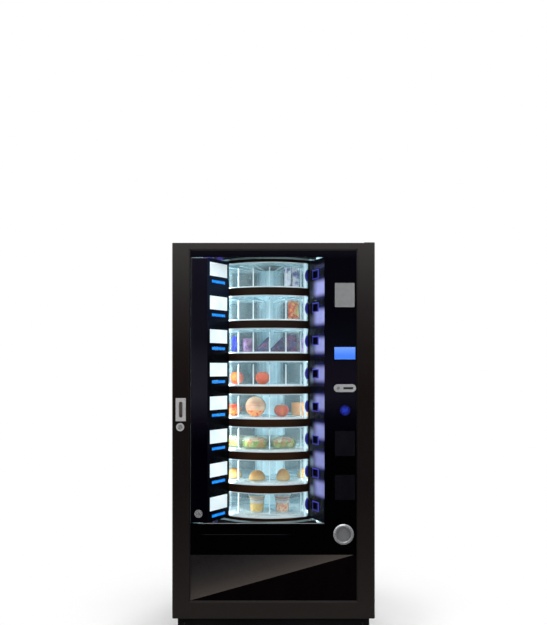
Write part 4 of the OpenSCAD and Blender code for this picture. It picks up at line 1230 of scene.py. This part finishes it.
def tub_blank(name, radius, depth, lip):
    """A round tub lying on its side, its face towards -Y."""
    piece = begin("cylinder", name, vertices=40, radius=radius, depth=depth)
    choose(piece, lambda p: p.z > depth * 0.49, "FACE")
    inset(radius * lip)
    inset(radius * 0.04, -0.002)
    inset(radius * 0.5)
    inset(radius * 0.03, 0.0008)
    choose(piece, lambda p: p.z < -depth * 0.49)
    grow(0.86, 0.86, 1)
    end_shape()
    modify(piece, "BEVEL", width=0.0012, segments=2, limit_method="ANGLE")
    soften(piece)
    piece.rotation_euler.x = math.radians(90)
    stand(piece, radius)
    return piece


def wedge_blank(name, side, height):
    """A sandwich wedge in its card, one corner towards the hub."""
    piece = begin("cylinder", name, vertices=3, radius=side * 0.62, depth=height,
                  location=(0, 0, height / 2))
    choose(piece, lambda p: p.z > height * 0.99, "FACE")
    inset(0.003, -0.0015)
    end_shape()
    modify(piece, "BEVEL", width=0.0025, segments=3)
    soften(piece)
    return piece


# What each piece of food is made by, the sizes it is given and its finish
FOOD = {
    "apple": (fruit_blank, (0.0355, 0.92, 0.012), apple_skin()),
    "stalk": (
        stalk_blank, (0.012, 0.054),
        card_plain("stalk_brown", (74, 50, 28), (96, 70, 40))),
    "orange": (fruit_blank, (0.0345, 0.94, 0.003), orange_peel()),
    "bun": (bun_blank, (0.078, 0.052), bun_crust()),
    "tall_bun": (bun_blank, (0.066, 0.060), bun_crust()),
    "grape_bag": (
        bag_blank, (0.060, 0.066, 0.034, 0.006),
        foil("bag_plum", (88, 58, 100), (136, 104, 140), (58, 40, 84))),
    "berry_bag": (
        bag_blank, (0.056, 0.082, 0.030, 0.008),
        foil("bag_violet", (46, 22, 86), (34, 46, 116), (112, 42, 104))),
    "slumped_bag": (
        bag_blank, (0.064, 0.074, 0.030, 0.006, 0.75),
        foil("bag_indigo", (44, 24, 84), (40, 66, 124), (106, 36, 92))),
    "white_pack": (
        bag_blank, (0.034, 0.100, 0.026, 0.004),
        foil("pack_white", (226, 234, 250), (248, 250, 255), (62, 74, 168))),
    "blue_bag": (
        bag_blank, (0.056, 0.078, 0.032, 0.006),
        foil("bag_blue", (12, 14, 108), (26, 40, 160), (8, 6, 70))),
    "red_bag": (
        bag_blank, (0.058, 0.092, 0.034, 0.007),
        foil("bag_red", (214, 48, 30), (238, 128, 40), (236, 190, 104))),
    "salad_tray": (
        tray_blank, (0.120, 0.076, 0.034),
        clear_lid("tray_clear", tone(170, 206, 120), 0.20)),
    "salad_heap": (mound_blank, (0.098, 0.058, 0.006, 0.050), salad_mix()),
    "salad_lid": (
        lid_blank, (0.118, 0.074, 0.0345, 0.024),
        clear_lid("lid_clear", tone(210, 232, 214), 0.12)),
    "yellow_cup": (
        cup_blank, (0.029, 0.0405, 0.080),
        filled_cup("cup_yellow", tone(238, 190, 60), tone(246, 214, 110))),
    "peach_cup": (
        cup_blank, (0.029, 0.0405, 0.080),
        filled_cup("cup_peach", tone(226, 120, 70), tone(238, 206, 170))),
    "tub": (tub_blank, (0.0475, 0.044, 0.08), fruit_tub()),
    "wedge": (
        wedge_blank, (0.085, 0.062),
        card_plain("wedge_brown", (196, 150, 92), (172, 118, 66))),
}

# On each level: bearing of the compartment, distance from the axis, turn, what stands there
SHELF = {
    1: [
        (18.5, 0.262, 4, "white_pack"), (27.5, 0.262, -4, "white_pack"),
        (97.5, 0.262, 0, "white_pack"), (-112.5, 0.262, 0, "white_pack")],
    2: [
        (25, 0.262, 6, "red_bag"), (-67.5, 0.262, 0, "red_bag"), (97.5, 0.262, 0, "red_bag"),
        (172.5, 0.262, 0, "blue_bag"), (-127.5, 0.262, 0, "grape_bag")],
    3: [
        (-37.5, 0.262, 0, "blue_bag"), (-22.5, 0.258, 5, "grape_bag"),
        (-7.5, 0.262, -8, "slumped_bag"), (7.5, 0.260, 6, "slumped_bag"),
        (22.5, 0.262, -6, "berry_bag"), (37.5, 0.262, 0, "grape_bag"),
        (97.5, 0.262, 0, "red_bag"), (157.5, 0.262, 0, "blue_bag"),
        (-112.5, 0.262, 0, "berry_bag")],
    4: [
        (-7.5, 0.252, 0, "orange"), (-37.5, 0.255, 0, "orange"), (67.5, 0.252, 0, "apple"),
        (127.5, 0.252, 0, "orange"), (-157.5, 0.252, 0, "apple"), (-97.5, 0.252, 0, "orange")],
    5: [
        (-15, 0.240, 3, "tub"), (13, 0.247, 0, "apple"), (43, 0.225, 60, "wedge"),
        (-45, 0.240, 0, "apple"), (105, 0.240, 0, "tub"), (165, 0.235, 60, "wedge"),
        (-105, 0.240, 0, "apple"), (-165, 0.240, 0, "tub")],
    6: [
        (-15, 0.238, 0, "salad"), (15, 0.238, 0, "salad"), (-45, 0.238, 0, "salad"),
        (75, 0.238, 0, "salad"), (135, 0.238, 0, "salad"), (-135, 0.238, 0, "salad")],
    7: [
        (-14, 0.240, 8, "bun"), (15, 0.245, 0, "tall_bun"), (45, 0.240, 0, "bun"),
        (-45, 0.240, 0, "bun"), (105, 0.240, 0, "tall_bun"), (165, 0.240, 0, "bun"),
        (-105, 0.240, 0, "bun")],
    8: [
        (-14.5, 0.238, 0, "yellow_cup"), (14.5, 0.238, 0, "peach_cup"),
        (75, 0.238, 0, "yellow_cup"), (135, 0.238, 0, "peach_cup"), (-75, 0.238, 0, "peach_cup"),
        (-135, 0.238, 0, "yellow_cup")],
}
PARTS_OF = {"salad": ("salad_tray", "salad_heap", "salad_lid"), "apple": ("apple", "stalk")}
patterns = {
    part: make(part + "_pattern", *sizes) for part, (make, sizes, finish) in FOOD.items()}
serial = {}
for level, items in SHELF.items():
    for bearing, reach, turn, kind in items:
        serial[kind] = serial.get(kind, 0) + 1
        x, y = on_drum(bearing, reach)
        place = turned(x, y, level_height(level) + DRUM_FLOOR, math.radians(bearing + turn))
        for part in PARTS_OF.get(kind, (kind,)):
            piece = copy_of(patterns[part], f"{part}_{serial[kind]}", place)
            settle(piece, FOOD[part][2], "carousel")
for pattern in patterns.values():
    bpy.data.objects.remove(pattern)

# ---- Room and lights ----

clear_choice()
bpy.ops.mesh.primitive_plane_add(size=24, location=(0, 0, 0))
floor = bpy.context.object
floor.name = "floor"


def floor_white():
    """Pale floor that fades to plain white round the machine's own shadow."""
    f = Finish("pale_floor")
    f.base(f.blend(f.noise(1.5, 2), (236, 236, 236), (240, 240, 240)))
    f.rough(0.7)
    seen = f.add("ShaderNodeLightPath", out="Is Camera Ray")
    white = f.add("ShaderNodeEmission", values={"Color": (1, 1, 1, 1), "Strength": 1.0})
    away = f.span(distance(f.x, f.y), 0.6, 1.25)
    mixed = f.add("ShaderNodeMixShader", values={
        0: seen * away, 1: Value(f, f.shader.outputs[0]), 2: white})
    f.links.new(mixed.socket, f.nodes["Material Output"].inputs["Surface"])
    return f


floor_finish = floor_white()
floor.data.materials.append(floor_finish.material)

cloth = Finish("dark_cloth", 0.0, Roughness=1.0)
cloth.base(cloth.blend(cloth.noise(3.0), (18, 18, 20), (24, 24, 26)))


def dark_cloth(name, place, turn, width, height):
    """A black cloth that only the shiny surfaces see."""
    clear_choice()
    bpy.ops.mesh.primitive_plane_add(size=1, location=place, rotation=(turn, 0, 0))
    hung = bpy.context.object
    hung.name = name
    hung.scale = (width, height, 1)
    hung.data.materials.append(cloth.material)
    for ray in ("camera", "diffuse", "transmission", "shadow"):
        setattr(hung, f"visible_{ray}", False)


dark_cloth("hung_cloth", (0, -5.4, 2.2), math.radians(90), 6.4, 4.4)
dark_cloth("floor_cloth", (0, -2.95, 0.002), 0, 6.4, 4.9)

world = bpy.data.worlds.new("studio")
scene.world = world
world.use_nodes = True
room = world.node_tree
path = room.nodes.new("ShaderNodeLightPath")


def larger(first, second):
    node = room.nodes.new("ShaderNodeMath")
    node.operation = "MAXIMUM"
    room.links.new(first, node.inputs[0])
    room.links.new(second, node.inputs[1])
    return node.outputs[0]


# The room is white where it is seen, and dimmer where it only lights the machine
direct = larger(path.outputs["Is Camera Ray"], path.outputs["Is Glossy Ray"])
direct = larger(direct, path.outputs["Is Transmission Ray"])
strength = room.nodes.new("ShaderNodeMapRange")
strength.inputs["To Min"].default_value = 0.42
strength.inputs["To Max"].default_value = 1.0
room.links.new(direct, strength.inputs["Value"])
room.nodes["Background"].inputs["Color"].default_value = (1, 1, 1, 1)
room.links.new(strength.outputs["Result"], room.nodes["Background"].inputs["Strength"])


def soft_light(name, place, aim, size, power, colour=(1, 1, 1), tall=None):
    data = bpy.data.lights.new(name, "AREA")
    data.size = size
    if tall:
        data.shape = "RECTANGLE"
        data.size_y = tall
    data.energy = power
    data.color = colour
    lamp = bpy.data.objects.new(name, data)
    lamp.location = place
    lamp.rotation_euler = (Vector(aim) - Vector(place)).to_track_quat("-Z", "Y").to_euler()
    lamp.visible_camera = False
    scene.collection.objects.link(lamp)
    return lamp


soft_light("key", (-2.6, -3.0, 3.1), (0, 0, 1.0), 2.2, 95)
soft_light("fill", (2.8, -2.8, 2.4), (0, 0, 0.9), 2.2, 60)
soft_light("top", (0, -0.6, 4.0), (0, 0, 0.9), 2.6, 80)
soft_light("rear", (0.6, 3.6, 2.6), (0, 0, 1.0), 2.6, 90)

COOL = (0.74, 0.93, 1.0)
COOL_WHITE = (0.90, 0.97, 1.0)
LAMPS = {"left": (-0.243, -0.322), "right": (0.208, -0.330)}
LAMP_SPANS = ((0.64, 1.18), (1.18, 1.72))
for name, (x, y) in LAMPS.items():
    for low, high in LAMP_SPANS:
        middle = (low + high) / 2
        tube = soft_light(
            f"drum_lamp_{name}_{low:.2f}", (x, y, middle), (AXIS.x, AXIS.y, middle),
            0.02, 2.5, COOL if low > 1 else COOL_WHITE, tall=high - low)
        tube.visible_glossy = False
cell_glow = soft_light(
    "cell_glow", (AXIS.x, 0.30, 1.18), (AXIS.x, AXIS.y, 1.18), 0.5, 4.0, COOL, tall=1.1)
cell_glow.visible_glossy = False

scene.view_settings.view_transform = "Standard"
